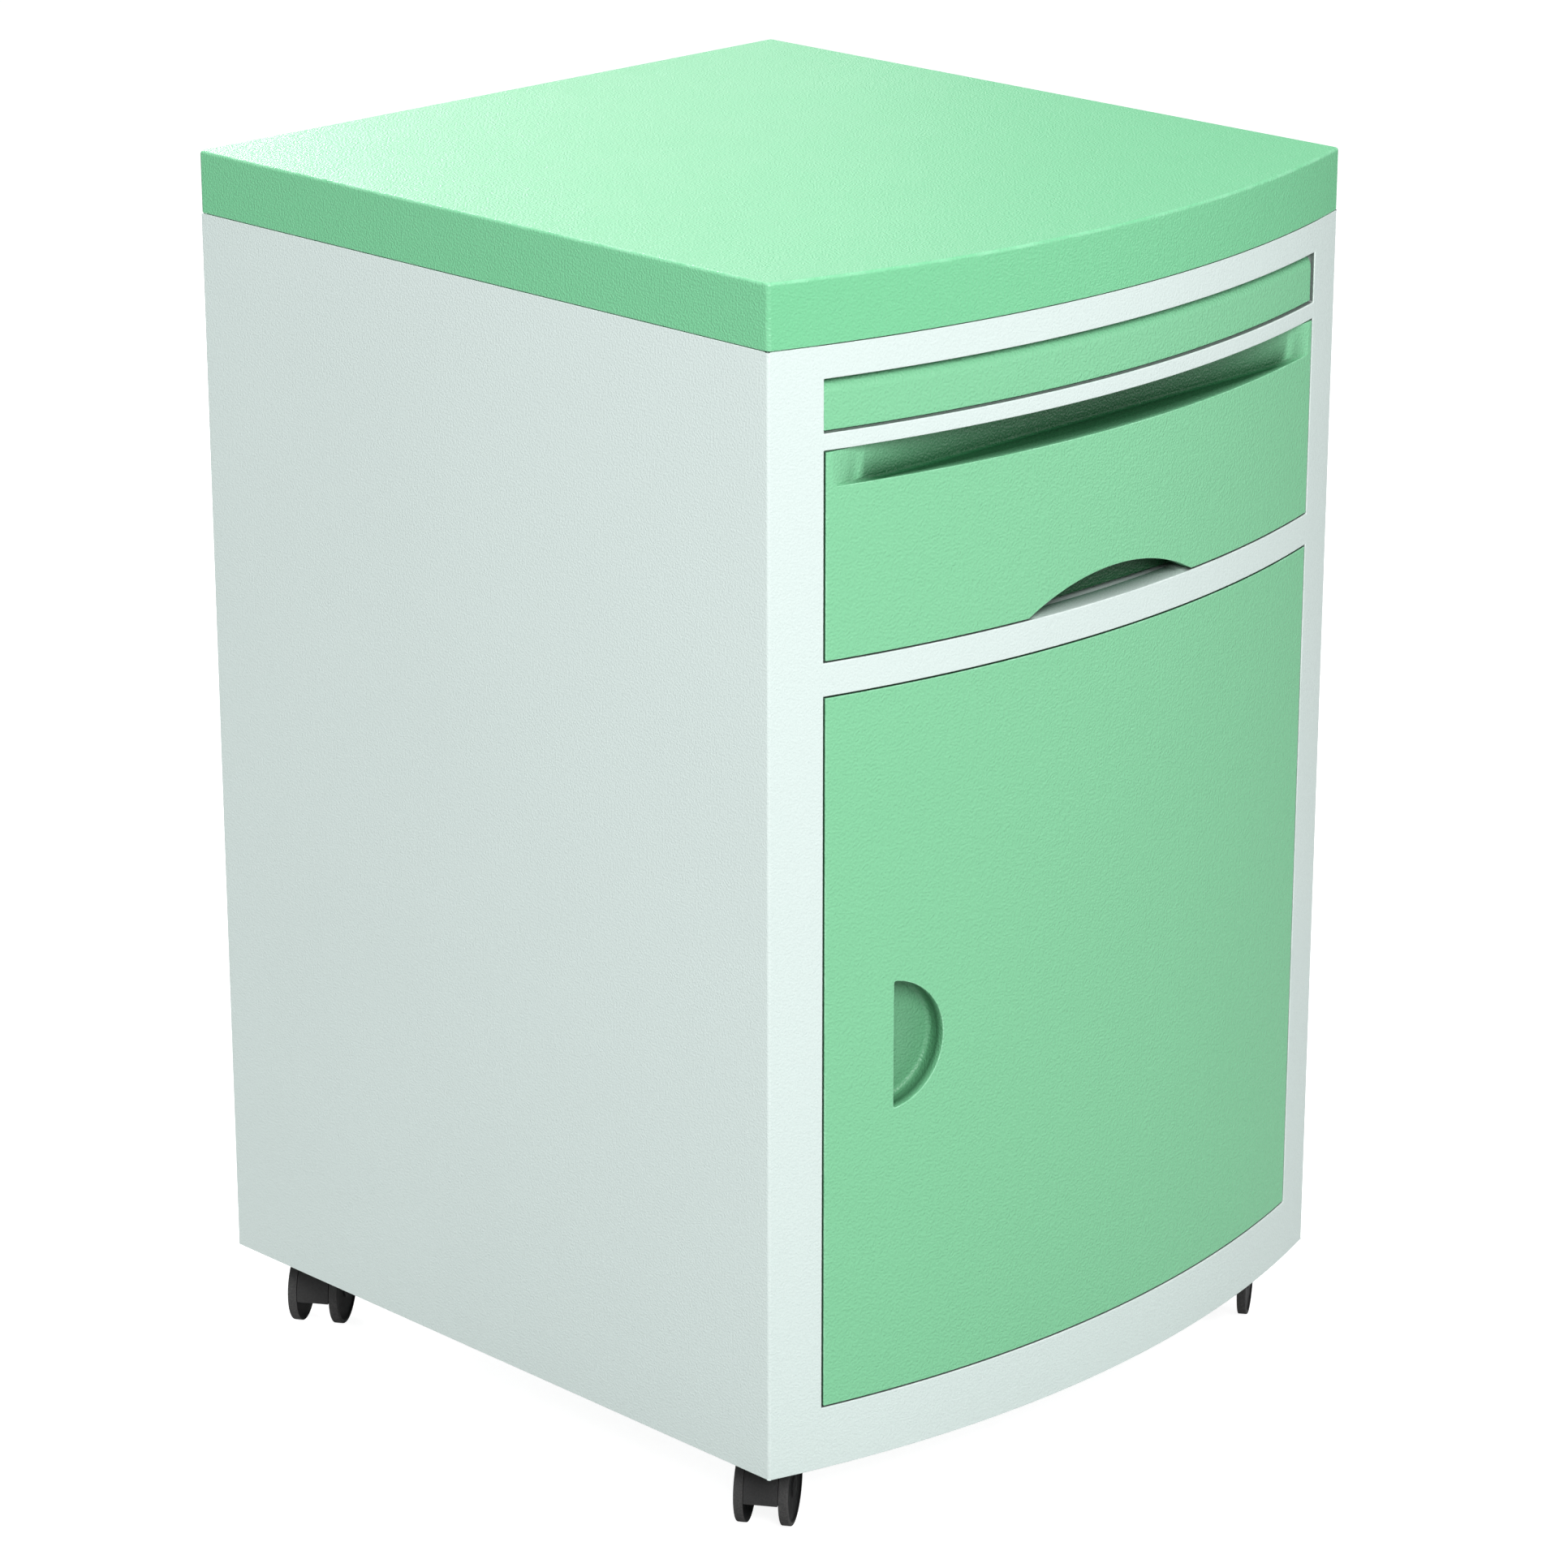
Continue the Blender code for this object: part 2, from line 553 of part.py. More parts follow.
def build_runner(side, sign, slide, local, box_z0):
    """One side's fixed rail, the runner on the drawer, and a roller on each."""
    steel = RUNNER_STEEL
    rail_z0 = DRAWER_DECK_Z1 + JOIN
    track_z1 = rail_z0 + steel
    web = DRAWER_BOX_HALF + RUNNER_WEB_OUT
    rail_section = [(web - RAIL_TRACK, rail_z0), (web + RAIL_FOOT, rail_z0),
                    (web + RAIL_FOOT, track_z1), (web + steel, track_z1),
                    (web + steel, rail_z0 + RAIL_WEB_HEIGHT), (web, rail_z0 + RAIL_WEB_HEIGHT),
                    (web, track_z1), (web - RAIL_TRACK, track_z1)]
    roller_x = web - ROLLER_OFF_WEB - ROLLER_WIDTH
    back_roller_z = track_z1 + JOIN + ROLLER_RADIUS
    front_roller_z = back_roller_z + ROLLER_STEP
    front_roller_y = RAIL_FRONT_Y + ROLLER_IN
    flange_z0 = front_roller_z + ROLLER_RADIUS + JOIN
    runner_y0 = CORNER_Y + DRAWER_FRONT_BACK + JOIN
    runner_y1 = DECK_BACK_Y - RUNNER_BACK_ROOM
    back_roller_y = runner_y1 - ROLLER_IN

    rail = piece(f"drawer_rail_{side}",
                 along_y([(sign * x, z) for x, z in rail_section], RAIL_FRONT_Y, RAIL_END_Y),
                 STEEL, 0.35, 1.0)
    add(rail, moved(pin_along_x(sign, roller_x, web + steel / 2, ROLLER_PIN),
                    at(0, front_roller_y, front_roller_z)))

    side_x = DRAWER_BOX_HALF + JOIN
    seat_z1 = box_z0 - JOIN
    runner_section = [(side_x - RUNNER_SEAT, seat_z1 - steel), (side_x + steel, seat_z1 - steel),
                      (side_x + steel, flange_z0), (roller_x + ROLLER_WIDTH, flange_z0),
                      (roller_x + ROLLER_WIDTH, flange_z0 + steel), (side_x, flange_z0 + steel),
                      (side_x, seat_z1), (side_x - RUNNER_SEAT, seat_z1)]
    runner = piece(f"drawer_runner_{side}",
                   moved(along_y([(sign * x, z) for x, z in runner_section], runner_y0,
                                 runner_y1), local), STEEL, 0.35, 1.0, axis=slide)
    add(runner, moved(pin_along_x(sign, side_x + steel / 2, roller_x + ROLLER_WIDTH, ROLLER_PIN),
                      local @ at(0, back_roller_y, back_roller_z)))

    for name, y, z, parent in ((f"rail_roller_{side}", front_roller_y, front_roller_z, None),
                               (f"runner_roller_{side}", back_roller_y, back_roller_z, slide)):
        x = sign * (roller_x + ROLLER_WIDTH / 2)
        offset = Vector((0, CORNER_Y, DRAWER_Z0)) if parent else Vector((0, 0, 0))
        spin = axis_empty(f"{name}_axis", x, y - offset.y, z - offset.z, parent=parent)
        roller = ring(ROLLER_PIN + TURNING, ROLLER_RADIUS, -ROLLER_WIDTH / 2, ROLLER_WIDTH / 2)
        piece(name, moved(roller, LAY_ON_X), NYLON, 0.4, axis=spin, round_piece=True)


def pin_along_x(sign, x0, x1, radius):
    bar = moved(disc(radius, x0, x1), LAY_ON_X)
    if sign < 0:
        bar = moved(bar, Matrix.Rotation(pi, 4, "Z"))
    return bar


# ---- door ---------------------------------------------------------------------------
def cup_solids(grow):
    """The handle cup, square to the bow at its middle: the D and the undercut behind its edge."""
    middle = CUP_EDGE - CUP_WIDTH / 2
    lean = cos(asin(middle / BOW_RADIUS))
    edge = -CUP_WIDTH / 2 / lean
    bulge = CUP_WIDTH / 2 / lean
    centre = bulge - CUP_RADIUS
    radius, flat = CUP_RADIUS + grow, edge - grow
    sweep = acos((flat - centre) / radius)
    angles = [sweep * (2 * i / ARCH_STEPS - 1) for i in range(ARCH_STEPS + 1)]
    outline = [(centre + radius * cos(a), radius * sin(a)) for a in angles]
    cup = along_y(outline, -CUT_PAST, CUP_DEPTH + grow)
    hook_half = radius * sin(sweep) - CUP_HOOK_IN
    hook = block(flat - CUP_UNDERCUT, flat + CUP_WALL, CUP_LIP - grow, CUP_DEPTH + grow,
                 -hook_half, hook_half)
    place = square_to_bow(-middle) @ at(0, 0, BODY_Z0 + CUP_Z)
    return moved(cup, place), moved(hook, place)


def build_door(catch):
    x, y = hinge_axis()
    z0, z1 = DOOR_Z0 + LEVEL_GAP, DOOR_Z1 - LEVEL_GAP
    hinge = axis_empty("door_hinge_axis", x, y, z0)
    local = at(-x, -y, -z0)
    shell = piece("door_shell", moved(bowed(-FRONT_HALF, FRONT_HALF, 0, DOOR_DEPTH, z0, z1), local),
                  MINT, 0.42, axis=hinge)
    hollow = bowed(DOOR_SKIN - FRONT_HALF, x - HINGE_STILE, DOOR_SKIN, DOOR_DEPTH + CUT_PAST,
                   z0 + DOOR_SKIN, z1 - DOOR_SKIN)
    hollow_cutter = cut(shell, moved(hollow, local))
    for solid in cup_solids(CUP_WALL):
        cut(hollow_cutter, moved(solid, local))
    for solid in cup_solids(0.0):
        cut(shell, moved(solid, local))
    pocket = BUSH_RADIUS + JOIN
    depth = BUSH_LENGTH + 2 * JOIN
    cut(shell, disc(pocket, -CUT_PAST, depth))
    cut(shell, moved(disc(pocket, -depth, CUT_PAST), at(0, 0, z1 - z0)))
    for name, bush_z0 in (("lower_hinge_bush", JOIN), ("upper_hinge_bush", z1 - z0 - depth + JOIN)):
        bush = ring(PIN_RADIUS + TURNING, BUSH_RADIUS, bush_z0, bush_z0 + BUSH_LENGTH)
        piece(name, bush, NYLON, 0.4, axis=hinge, round_piece=True)
    liner_half = FRONT_HALF - LINER_IN
    liner = bowed(-liner_half, liner_half, DOOR_DEPTH + JOIN, DOOR_DEPTH + JOIN + DOOR_LINER,
                  z0 + LINER_IN, z1 - LINER_IN)
    piece("door_liner", moved(liner, local), PALE, 0.5, axis=hinge)
    strike_x, magnet_front, strike_z0, strike_z1 = catch
    strike = block(-STRIKE_HALF, STRIKE_HALF, magnet_front - JOIN - STRIKE_THICK, magnet_front - JOIN,
                   strike_z0, strike_z1)
    piece("strike_plate", moved(strike, local @ square_to_bow(strike_x)), STEEL, 0.3, 1.0,
          axis=hinge)


# ---- casters ------------------------------------------------------------------------
def build_caster(tag, x, y, heading):
    """A twin-wheel caster: block in the body, stem, hood, axle and two wheels."""
    body = block(x - BLOCK_HALF, x + BLOCK_HALF, y - BLOCK_HALF, y + BLOCK_HALF,
                 BODY_Z0 + 2 * JOIN, BASE_Z1 - DECK_THICK - JOIN)
    socket = piece(f"caster_block_{tag}", body, NYLON, 0.5)
    stem_top = BODY_Z0 + STEM_REACH
    cut(socket, moved(disc(STEM_RADIUS + JOIN, BODY_Z0 - CUT_PAST, stem_top + JOIN), at(x, y, 0)))
    collar_z1 = BODY_Z0 + JOIN
    collar_z0 = collar_z1 - STEM_COLLAR_THICK
    foot = WHEEL_RADIUS + STEM_RADIUS + AXLE_RADIUS
    stem = turned([(0, foot), (STEM_RADIUS, foot), (STEM_RADIUS, collar_z0),
                   (STEM_COLLAR, collar_z0), (STEM_COLLAR, collar_z1), (STEM_RADIUS, collar_z1),
                   (STEM_RADIUS, stem_top), (0, stem_top)])
    piece(f"caster_stem_{tag}", moved(stem, at(x, y, 0)), STEEL, 0.3, 1.0, round_piece=True)

    swivel = axis_empty(f"caster_swivel_axis_{tag}", x, y, 0, turn=heading)
    hood_half = CASTER_HALF - TREAD - JOIN
    lay = at(CASTER_TRAIL, 0, WHEEL_RADIUS) @ LAY_ON_Y
    hood = piece(f"caster_hood_{tag}", moved(disc(WHEEL_RADIUS, -hood_half, hood_half), lay),
                 BLACK, 0.5, axis=swivel, round_piece=True)
    add(hood, disc(hood_half - HOOD_NECK_IN, WHEEL_RADIUS, collar_z0 - JOIN))
    reach = 2 * WHEEL_RADIUS
    cut(hood, block(-reach, reach, -CASTER_HALF, CASTER_HALF, -CUT_PAST, HOOD_CUT))
    cut(hood, disc(STEM_RADIUS + TURNING, foot - JOIN, BODY_Z0))
    cut(hood, moved(disc(AXLE_RADIUS + TURNING, -CASTER_HALF, CASTER_HALF), lay))
    spin = axis_empty(f"caster_wheel_axis_{tag}", CASTER_TRAIL, 0, WHEEL_RADIUS, parent=swivel)
    axle_half = CASTER_HALF - AXLE_END
    piece(f"caster_axle_{tag}", moved(disc(AXLE_RADIUS, -axle_half, axle_half), LAY_ON_Y), STEEL,
          0.3, 1.0, axis=spin, round_piece=True)
    rim, bore = WHEEL_RADIUS - WHEEL_EDGE, AXLE_RADIUS + TURNING
    profile = [(bore, 0), (rim, 0), (WHEEL_RADIUS, WHEEL_EDGE),
               (WHEEL_RADIUS, TREAD - WHEEL_EDGE), (rim, TREAD), (0, TREAD),
               (0, TREAD - WHEEL_FACE), (bore, TREAD - WHEEL_FACE)]
    for side, sign in (("a", -1), ("b", 1)):
        out = at(0, sign * (CASTER_HALF - TREAD), 0) @ Matrix.Rotation(-sign * pi / 2, 4, "X")
        piece(f"caster_wheel_{tag}_{side}", moved(turned(profile), out), BLACK, 0.5, axis=spin,
              round_piece=True)


def build_casters():
    x = HALF - CASTER_INSET_X
    rows = (("front", CORNER_Y + CASTER_INSET_FRONT), ("back", BACK_Y - CASTER_INSET_BACK))
    for row, y in rows:
        build_caster(f"{row}_left", -x, y, radians(CASTER_HEADING))
        build_caster(f"{row}_right", x, y, radians(CASTER_HEADING))


clear_scene()
build_top()
build_sides()
build_back()
build_decks()
build_frame()
build_tray()
build_drawer()
build_door(build_catch())
build_casters()
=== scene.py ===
"""Looks of the bedside cabinet: finer moulded panels, drawer, tray, door and casters round
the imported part, with their finishes, screws, floor, light and camera. Metres, as the part.
"""

import json
from math import acos, asin, atan2, cos, pi, radians, sin, sqrt

import bmesh
import bpy
from mathutils import Matrix, Vector


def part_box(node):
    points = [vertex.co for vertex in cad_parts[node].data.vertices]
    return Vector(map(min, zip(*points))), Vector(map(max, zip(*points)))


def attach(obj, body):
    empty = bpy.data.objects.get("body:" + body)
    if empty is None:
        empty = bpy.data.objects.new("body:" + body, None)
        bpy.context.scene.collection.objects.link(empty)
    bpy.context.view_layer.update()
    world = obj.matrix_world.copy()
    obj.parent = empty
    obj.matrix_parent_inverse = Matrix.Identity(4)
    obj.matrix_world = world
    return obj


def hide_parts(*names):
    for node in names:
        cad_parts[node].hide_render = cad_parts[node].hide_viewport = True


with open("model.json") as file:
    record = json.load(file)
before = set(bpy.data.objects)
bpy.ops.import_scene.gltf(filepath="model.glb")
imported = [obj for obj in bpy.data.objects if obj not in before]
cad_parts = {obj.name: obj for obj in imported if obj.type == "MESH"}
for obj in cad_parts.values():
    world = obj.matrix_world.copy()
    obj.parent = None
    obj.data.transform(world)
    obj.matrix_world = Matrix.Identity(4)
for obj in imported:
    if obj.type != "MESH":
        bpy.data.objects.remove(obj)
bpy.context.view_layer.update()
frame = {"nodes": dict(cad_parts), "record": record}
SCENE = bpy.context.scene

# ---- sizes taken from the part ------------------------------------------------------
TOP_LOW, TOP_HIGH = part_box("top_panel")
SIDE_LOW, SIDE_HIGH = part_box("right_side_panel")
FRAME_LOW, FRAME_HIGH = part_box("front_frame")
BACK_LOW, BACK_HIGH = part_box("back_panel")
DOOR_LOW, DOOR_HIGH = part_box("door_shell")
LINER_LOW, LINER_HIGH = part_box("door_liner")
DRAWER_LOW, DRAWER_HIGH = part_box("drawer_front")
BOX_LOW, BOX_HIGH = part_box("drawer_box")
TRAY_LOW, TRAY_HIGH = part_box("tray_front")
BOARD_LOW, BOARD_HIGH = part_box("tray_board")
JOINTS = {joint["name"]: joint for joint in frame["record"]["behaviour"]["joints"]}

JOIN = 0.0003                                   # clearance between fixed pieces
HALF = TOP_HIGH.x
BACK_Y = TOP_HIGH.y
CORNER_Y = SIDE_LOW.y - JOIN / sqrt(2)          # front corners, in plan
BOW = CORNER_Y - TOP_LOW.y                      # middle of the front ahead of its corners
BOW_RADIUS = (HALF ** 2 + BOW ** 2) / (2 * BOW)
BOW_CENTRE_Y = TOP_LOW.y + BOW_RADIUS

SKIN = 0.004
FRAME_THICK = 0.016
GAP = 0.0012                                    # round the fronts, sideways
LEVEL_GAP = 0.0010                              # above and below them
FRONT_HALF = DOOR_HIGH.x
OPENING_HALF = FRONT_HALF + GAP
DOOR_DEPTH = 0.020
DECK_BACK_Y = BACK_LOW.y - JOIN

BOW_STEPS = 72
CORNER_STEPS = 6
ROUND_STEPS = 64
EDGE = 0.0007                                   # small round on moulded edges
END_EDGE = 0.0003                               # on the upper and lower ends of tall panels
EDGE_SEGMENTS = 3
SHARP = radians(32)                             # edges steeper than this get the small round


# ---- outlines -----------------------------------------------------------------------
def bow_y(x, inset=0.0):
    """The front surface at x, or a surface that lies inset behind it."""
    return BOW_CENTRE_Y - sqrt((BOW_RADIUS - inset) ** 2 - x * x)


def sweep(start, end, steps):
    return [start + (end - start) * i / steps for i in range(steps + 1)]


def bow_path(x0, x1, inset=0.0, steps=BOW_STEPS):
    """Plan points along the bow from x0 to x1."""
    return [(x, bow_y(x, inset)) for x in sweep(x0, x1, steps)]


def bow_band(half, near, far):
    """Plan of a curved panel between two depths behind the bow."""
    return bow_path(-half, half, near) + bow_path(half, -half, far)


def fillet(cx, cy, radius, start, end, steps=CORNER_STEPS):
    return [(cx + radius * cos(a), cy + radius * sin(a)) for a in sweep(start, end, steps)]


def bow_plan(half, front, back_y, corner, z):
    """A loop with a bowed front and rounded corners, counterclockwise from above."""
    cx = half - corner
    inner = BOW_RADIUS - front - corner
    lean = asin(cx / inner)
    cy = BOW_CENTRE_Y - inner * cos(lean)
    radius = BOW_RADIUS - front
    bow = [(radius * sin(a), BOW_CENTRE_Y - radius * cos(a)) for a in sweep(-lean, lean, BOW_STEPS)]
    right = fillet(cx, cy, corner, lean - pi / 2, 0)[1:]
    back = (fillet(cx, back_y - corner, corner, 0, pi / 2)
            + fillet(-cx, back_y - corner, corner, pi / 2, pi))
    left = fillet(-cx, cy, corner, pi, 1.5 * pi - lean)[:-1]
    return [(x, y, z) for x, y in bow + right + back + left]


def box_plan(low, high, corner, z):
    """A rectangular loop with rounded corners."""
    (x0, y0), (x1, y1) = low, high
    loop = []
    for cx, cy, start in ((x1 - corner, y0 + corner, -pi / 2), (x1 - corner, y1 - corner, 0),
                          (x0 + corner, y1 - corner, pi / 2), (x0 + corner, y0 + corner, pi)):
        loop += fillet(cx, cy, corner, start, start + pi / 2)
    return [(x, y, z) for x, y in loop]


def quarter(radius, steps=4):
    """(inset, drop) pairs from the side of an edge over to its face."""
    return [(radius * (1 - cos(a)), radius * (1 - sin(a))) for a in sweep(0, pi / 2, steps)]


# ---- meshes -------------------------------------------------------------------------
def outward(bm):
    """Turns every face of a closed mesh to point out of it."""
    bmesh.ops.recalc_face_normals(bm, faces=bm.faces)
    if bm.calc_volume(signed=True) < 0:
        bmesh.ops.reverse_faces(bm, faces=bm.faces)
    return bm


def welded(bm, dist=2e-6):
    """Joins points that coincide and drops what has become too small to be an edge."""
    bmesh.ops.remove_doubles(bm, verts=bm.verts, dist=dist)
    bmesh.ops.dissolve_degenerate(bm, edges=bm.edges, dist=1e-6)
    return bm


def stacked(loops):
    """A closed skin through a stack of loops that all have the same number of points."""
    bm = bmesh.new()
    rows = [[bm.verts.new(point) for point in loop] for loop in loops]
    count = len(rows[0])
    for low, high in zip(rows, rows[1:]):
        for i in range(count):
            j = (i + 1) % count
            bm.faces.new((low[i], low[j], high[j], high[i]))
    bm.faces.new(rows[0][::-1])
    bm.faces.new(rows[-1])
    return outward(bm)


def prism(outline, z0, z1):
    return stacked([[(x, y, z) for x, y in outline] for z in (z0, z1)])


def rounded_box(low, high, corner, least, steps):
    """A closed skin of rounded rectangles; steps are (inset, height) pairs from below."""
    return stacked([box_plan((low.x + inset, low.y + inset), (high.x - inset, high.y - inset),
                             max(corner - inset, least), z) for inset, z in steps])


def block(x0, x1, y0, y1, z0, z1):
    return prism([(x0, y0), (x1, y0), (x1, y1), (x0, y1)], z0, z1)


def turned(profile, steps=ROUND_STEPS):
    """A closed (radius, height) outline turned about Z."""
    bm = bmesh.new()
    verts = [bm.verts.new((r, 0, z)) for r, z in profile]
    edges = [bm.edges.new(pair) for pair in zip(verts, verts[1:] + verts[:1])]
    bmesh.ops.spin(bm, geom=verts + edges, axis=(0, 0, 1), cent=(0, 0, 0), steps=steps,
                   angle=2 * pi, use_merge=True)
    return outward(welded(bm, 1e-6))


def mirrored(profile):
    """A turned profile that is drawn up to half its height, completed."""
    return profile + [(r, -z) for r, z in reversed(profile)]


def disc(radius, z0, z1, steps=ROUND_STEPS):
    return turned([(0, z0), (radius, z0), (radius, z1), (0, z1)], steps)


def moved(bm, matrix):
    bmesh.ops.transform(bm, matrix=matrix, verts=bm.verts)
    return bm


def at(x, y, z):
    return Matrix.Translation((x, y, z))


def square_to_bow(x):
    """Turns a piece built square, its +Y inwards, to stand at x on the bow."""
    return at(x, bow_y(x), 0) @ Matrix.Rotation(asin(x / BOW_RADIUS), 4, "Z")


HINGE = at(*JOINTS["door_hinge"]["pos_m"][:2], 0)
LAY_ON_X = Matrix.Rotation(pi / 2, 4, "Y")
LAY_ON_Y = Matrix.Rotation(-pi / 2, 4, "X")


def new_object(name, data):
    obj = bpy.data.objects.new(name, data)
    SCENE.collection.objects.link(obj)
    return obj


def from_bmesh(name, bm):
    mesh = bpy.data.meshes.new(name)
    bm.to_mesh(mesh)
    bm.free()
    return mesh


def settled_mesh(obj):
    """The object's mesh with its modifiers worked in; the object itself goes."""
    view = bpy.context.evaluated_depsgraph_get()
    mesh = bpy.data.meshes.new_from_object(obj.evaluated_get(view), depsgraph=view)
    old = obj.data
    bpy.data.objects.remove(obj)
    bpy.data.meshes.remove(old)
    return mesh


def carved(bm, cuts=(), joins=()):
    """A solid with others joined to it, then others cut out of it."""
    blank = new_object("blank", from_bmesh("blank", bm))
    tools = []
    for operation, solids in (("UNION", joins), ("DIFFERENCE", cuts)):
        for solid in solids:
            tool = new_object("tool", from_bmesh("tool", solid))
            modifier = blank.modifiers.new("work", "BOOLEAN")
            modifier.operation, modifier.object, modifier.solver = operation, tool, "EXACT"
            tools.append(tool)
    mesh = settled_mesh(blank)
    for tool in tools:
        shape = tool.data
        bpy.data.objects.remove(tool)
        bpy.data.meshes.remove(shape)
    out = bmesh.new()
    out.from_mesh(mesh)
    bpy.data.meshes.remove(mesh)
    return welded(out)


def eased(bm, width=EDGE, segments=EDGE_SEGMENTS, choose=None):
    """Puts a small round on every sharp edge that choose() lets through."""
    edges = [e for e in bm.edges if len(e.link_faces) == 2 and e.calc_face_angle(0) > SHARP
             and (choose is None or choose(e))]
    bmesh.ops.bevel(bm, geom=edges, offset=width, segments=segments, affect="EDGES", profile=0.5,
                    clamp_overlap=False)
    return bm


WEAR_HIGHLIGHT_FROM, WEAR_HIGHLIGHT_FULL = radians(7), radians(24)
ROUND_WIDTH = 0.00065                           # faces of a small round are narrower than this


def mark_edges(bm):
    """Stores how much of an outer edge each corner of a narrow face stands on, for the rubbing and the
    painted edge highlight.
    """
    layer = bm.loops.layers.float.new("edge")
    bends = {vert: max((e.calc_face_angle_signed(0) for e in vert.link_edges
                        if len(e.link_faces) == 2), default=0) for vert in bm.verts}
    for face in bm.faces:
        if face.calc_area() < ROUND_WIDTH * max(edge.calc_length() for edge in face.edges):
            for loop in face.loops:
                share = (bends[loop.vert] - WEAR_HIGHLIGHT_FROM) / (WEAR_HIGHLIGHT_FULL - WEAR_HIGHLIGHT_FROM)
                loop[layer] = min(max(share, 0), 1)


def piece(name, bm, finish, body, *nodes, recess=None, seam=None):
    """A finished piece that rides on a body and stands for its CAD nodes.

    recess(point) tells how much painted shade a point gets, from 0 to 1, mostly by how deep in a finger
    hold it lies, and seam(point) is 1 on the walls of the gaps round the fronts, which take a painted
    shadow.
    """
    mark_edges(bm)
    for label, rule in (("recess", recess), ("seam", seam)):
        if rule:
            layer = bm.verts.layers.float.new(label)
            for vert in bm.verts:
                vert[layer] = min(max(rule(vert.co), 0), 1)
    mesh = from_bmesh(name, bm)
    mesh.shade_smooth()
    mesh.set_sharp_from_angle(angle=radians(50))
    mesh.materials.append(finish)
    obj = new_object(name, mesh)
    even = obj.modifiers.new("even_shading", "WEIGHTED_NORMAL")
    even.keep_sharp = True
    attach(obj, body)
    if nodes:
        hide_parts(*nodes)
    return obj


# ---- finishes -----------------------------------------------------------------------
class Bench:
    """Short way to add and wire the nodes of one tree."""

    def __init__(self, tree):
        self.tree = tree

    def add(self, kind, inputs=(), **settings):
        node = self.tree.nodes.new(kind)
        for key, value in settings.items():
            setattr(node, key, value)
        for key, value in dict(inputs).items():
            self.feed(node.inputs[key], value)
        return node

    def feed(self, socket, value):
        if isinstance(value, bpy.types.NodeSocket):
            self.tree.links.new(value, socket)
        else:
            socket.default_value = value

    def maths(self, operation, first, second=0.0, clamp=False):
        return self.add("ShaderNodeMath", {0: first, 1: second}, operation=operation,
                        use_clamp=clamp).outputs[0]

    def spread(self, value, low, high, to_low=0.0, to_high=1.0):
        """Maps low..high to to_low..to_high, held at both ends."""
        return self.add("ShaderNodeMapRange", {"Value": value, "From Min": low, "From Max": high,
                        "To Min": to_low, "To Max": to_high}).outputs["Result"]

    def blend(self, share, first, second):
        """Colour between first and second."""
        node = self.add("ShaderNodeMix", data_type="RGBA")
        for key, value in ((0, share), (6, first), (7, second)):
            self.feed(node.inputs[key], value)
        return node.outputs[2]

    def noise(self, vector, scale, detail=2.0, roughness=0.5):
        return self.add("ShaderNodeTexNoise", {"Vector": vector, "Scale": scale, "Detail": detail,
                        "Roughness": roughness}).outputs["Fac"]


FLOAT, VECTOR = "NodeSocketFloat", "NodeSocketVector"


def open_group(name, inputs, outputs):
    """A shader group with its own bench; inputs are (name, value), and Vector comes first."""
    group = bpy.data.node_groups.new(name, "ShaderNodeTree")
    group.interface.new_socket("Vector", in_out="INPUT", socket_type=VECTOR)
    for label, value in inputs:
        group.interface.new_socket(label, in_out="INPUT", socket_type=FLOAT).default_value = value
    for label in outputs:
        group.interface.new_socket(label, in_out="OUTPUT", socket_type=FLOAT)
    bench = Bench(group)
    return group, bench, bench.add("NodeGroupInput").outputs, bench.add("NodeGroupOutput").inputs


def grain_group():
    """Leathery mould grain: soft pebbles with finer pits between them."""
    group, bench, source, sink = open_group(
        "mould_grain", [("Pebbles per metre", 750.0), ("Pits", 0.12)], ["Height", "Speckle"])
    pebbles = bench.noise(source["Vector"], source["Pebbles per metre"], 0.6, 0.40)
    fine_scale = bench.maths("MULTIPLY", source["Pebbles per metre"], 2.3)
    pits = bench.add("ShaderNodeTexVoronoi", {"Vector": source["Vector"], "Scale": fine_scale},
                     feature="SMOOTH_F1").outputs["Distance"]
    pits = bench.maths("MULTIPLY", pits, source["Pits"])
    raised = bench.spread(pebbles, 0.32, 0.70)
    bench.feed(sink["Height"], bench.maths("SUBTRACT", raised, pits))
    bench.feed(sink["Speckle"], bench.noise(source["Vector"], fine_scale, 3.0, 0.6))
    return group


def tone_group():
    """Slow drift of tone over a moulding, and the smoother patches that hands leave."""
    group, bench, source, sink = open_group(
        "moulding_tone", [("Patches per metre", 7.0)], ["Tone", "Handled"])
    drift = bench.noise(source["Vector"], source["Patches per metre"], 3.0, 0.55)
    patches = bench.maths("MULTIPLY", source["Patches per metre"], 2.7)
    handled = bench.noise(source["Vector"], patches, 4.0, 0.6)
    bench.feed(sink["Tone"], bench.spread(drift, 0.3, 0.7))
    bench.feed(sink["Handled"], bench.spread(handled, 0.42, 0.72))
    return group


def wear_and_highlight_group():
    """Outer edges lightened for rubbing and as a painted highlight, broken up along their length."""
    group, bench, source, sink = open_group(
        "edge_wear_and_highlight", [("Edge", 0.0), ("Breaks per metre", 60.0), ("Amount", 0.5)], ["Worn"])
    breaks = bench.spread(bench.noise(source["Vector"], source["Breaks per metre"], 5.0, 0.65),
                          0.35, 0.65)
    worn_highlight = bench.maths("MULTIPLY", source["Edge"], breaks)
    bench.feed(sink["Worn"], bench.maths("MULTIPLY", worn_highlight, source["Amount"], clamp=True))
    return group


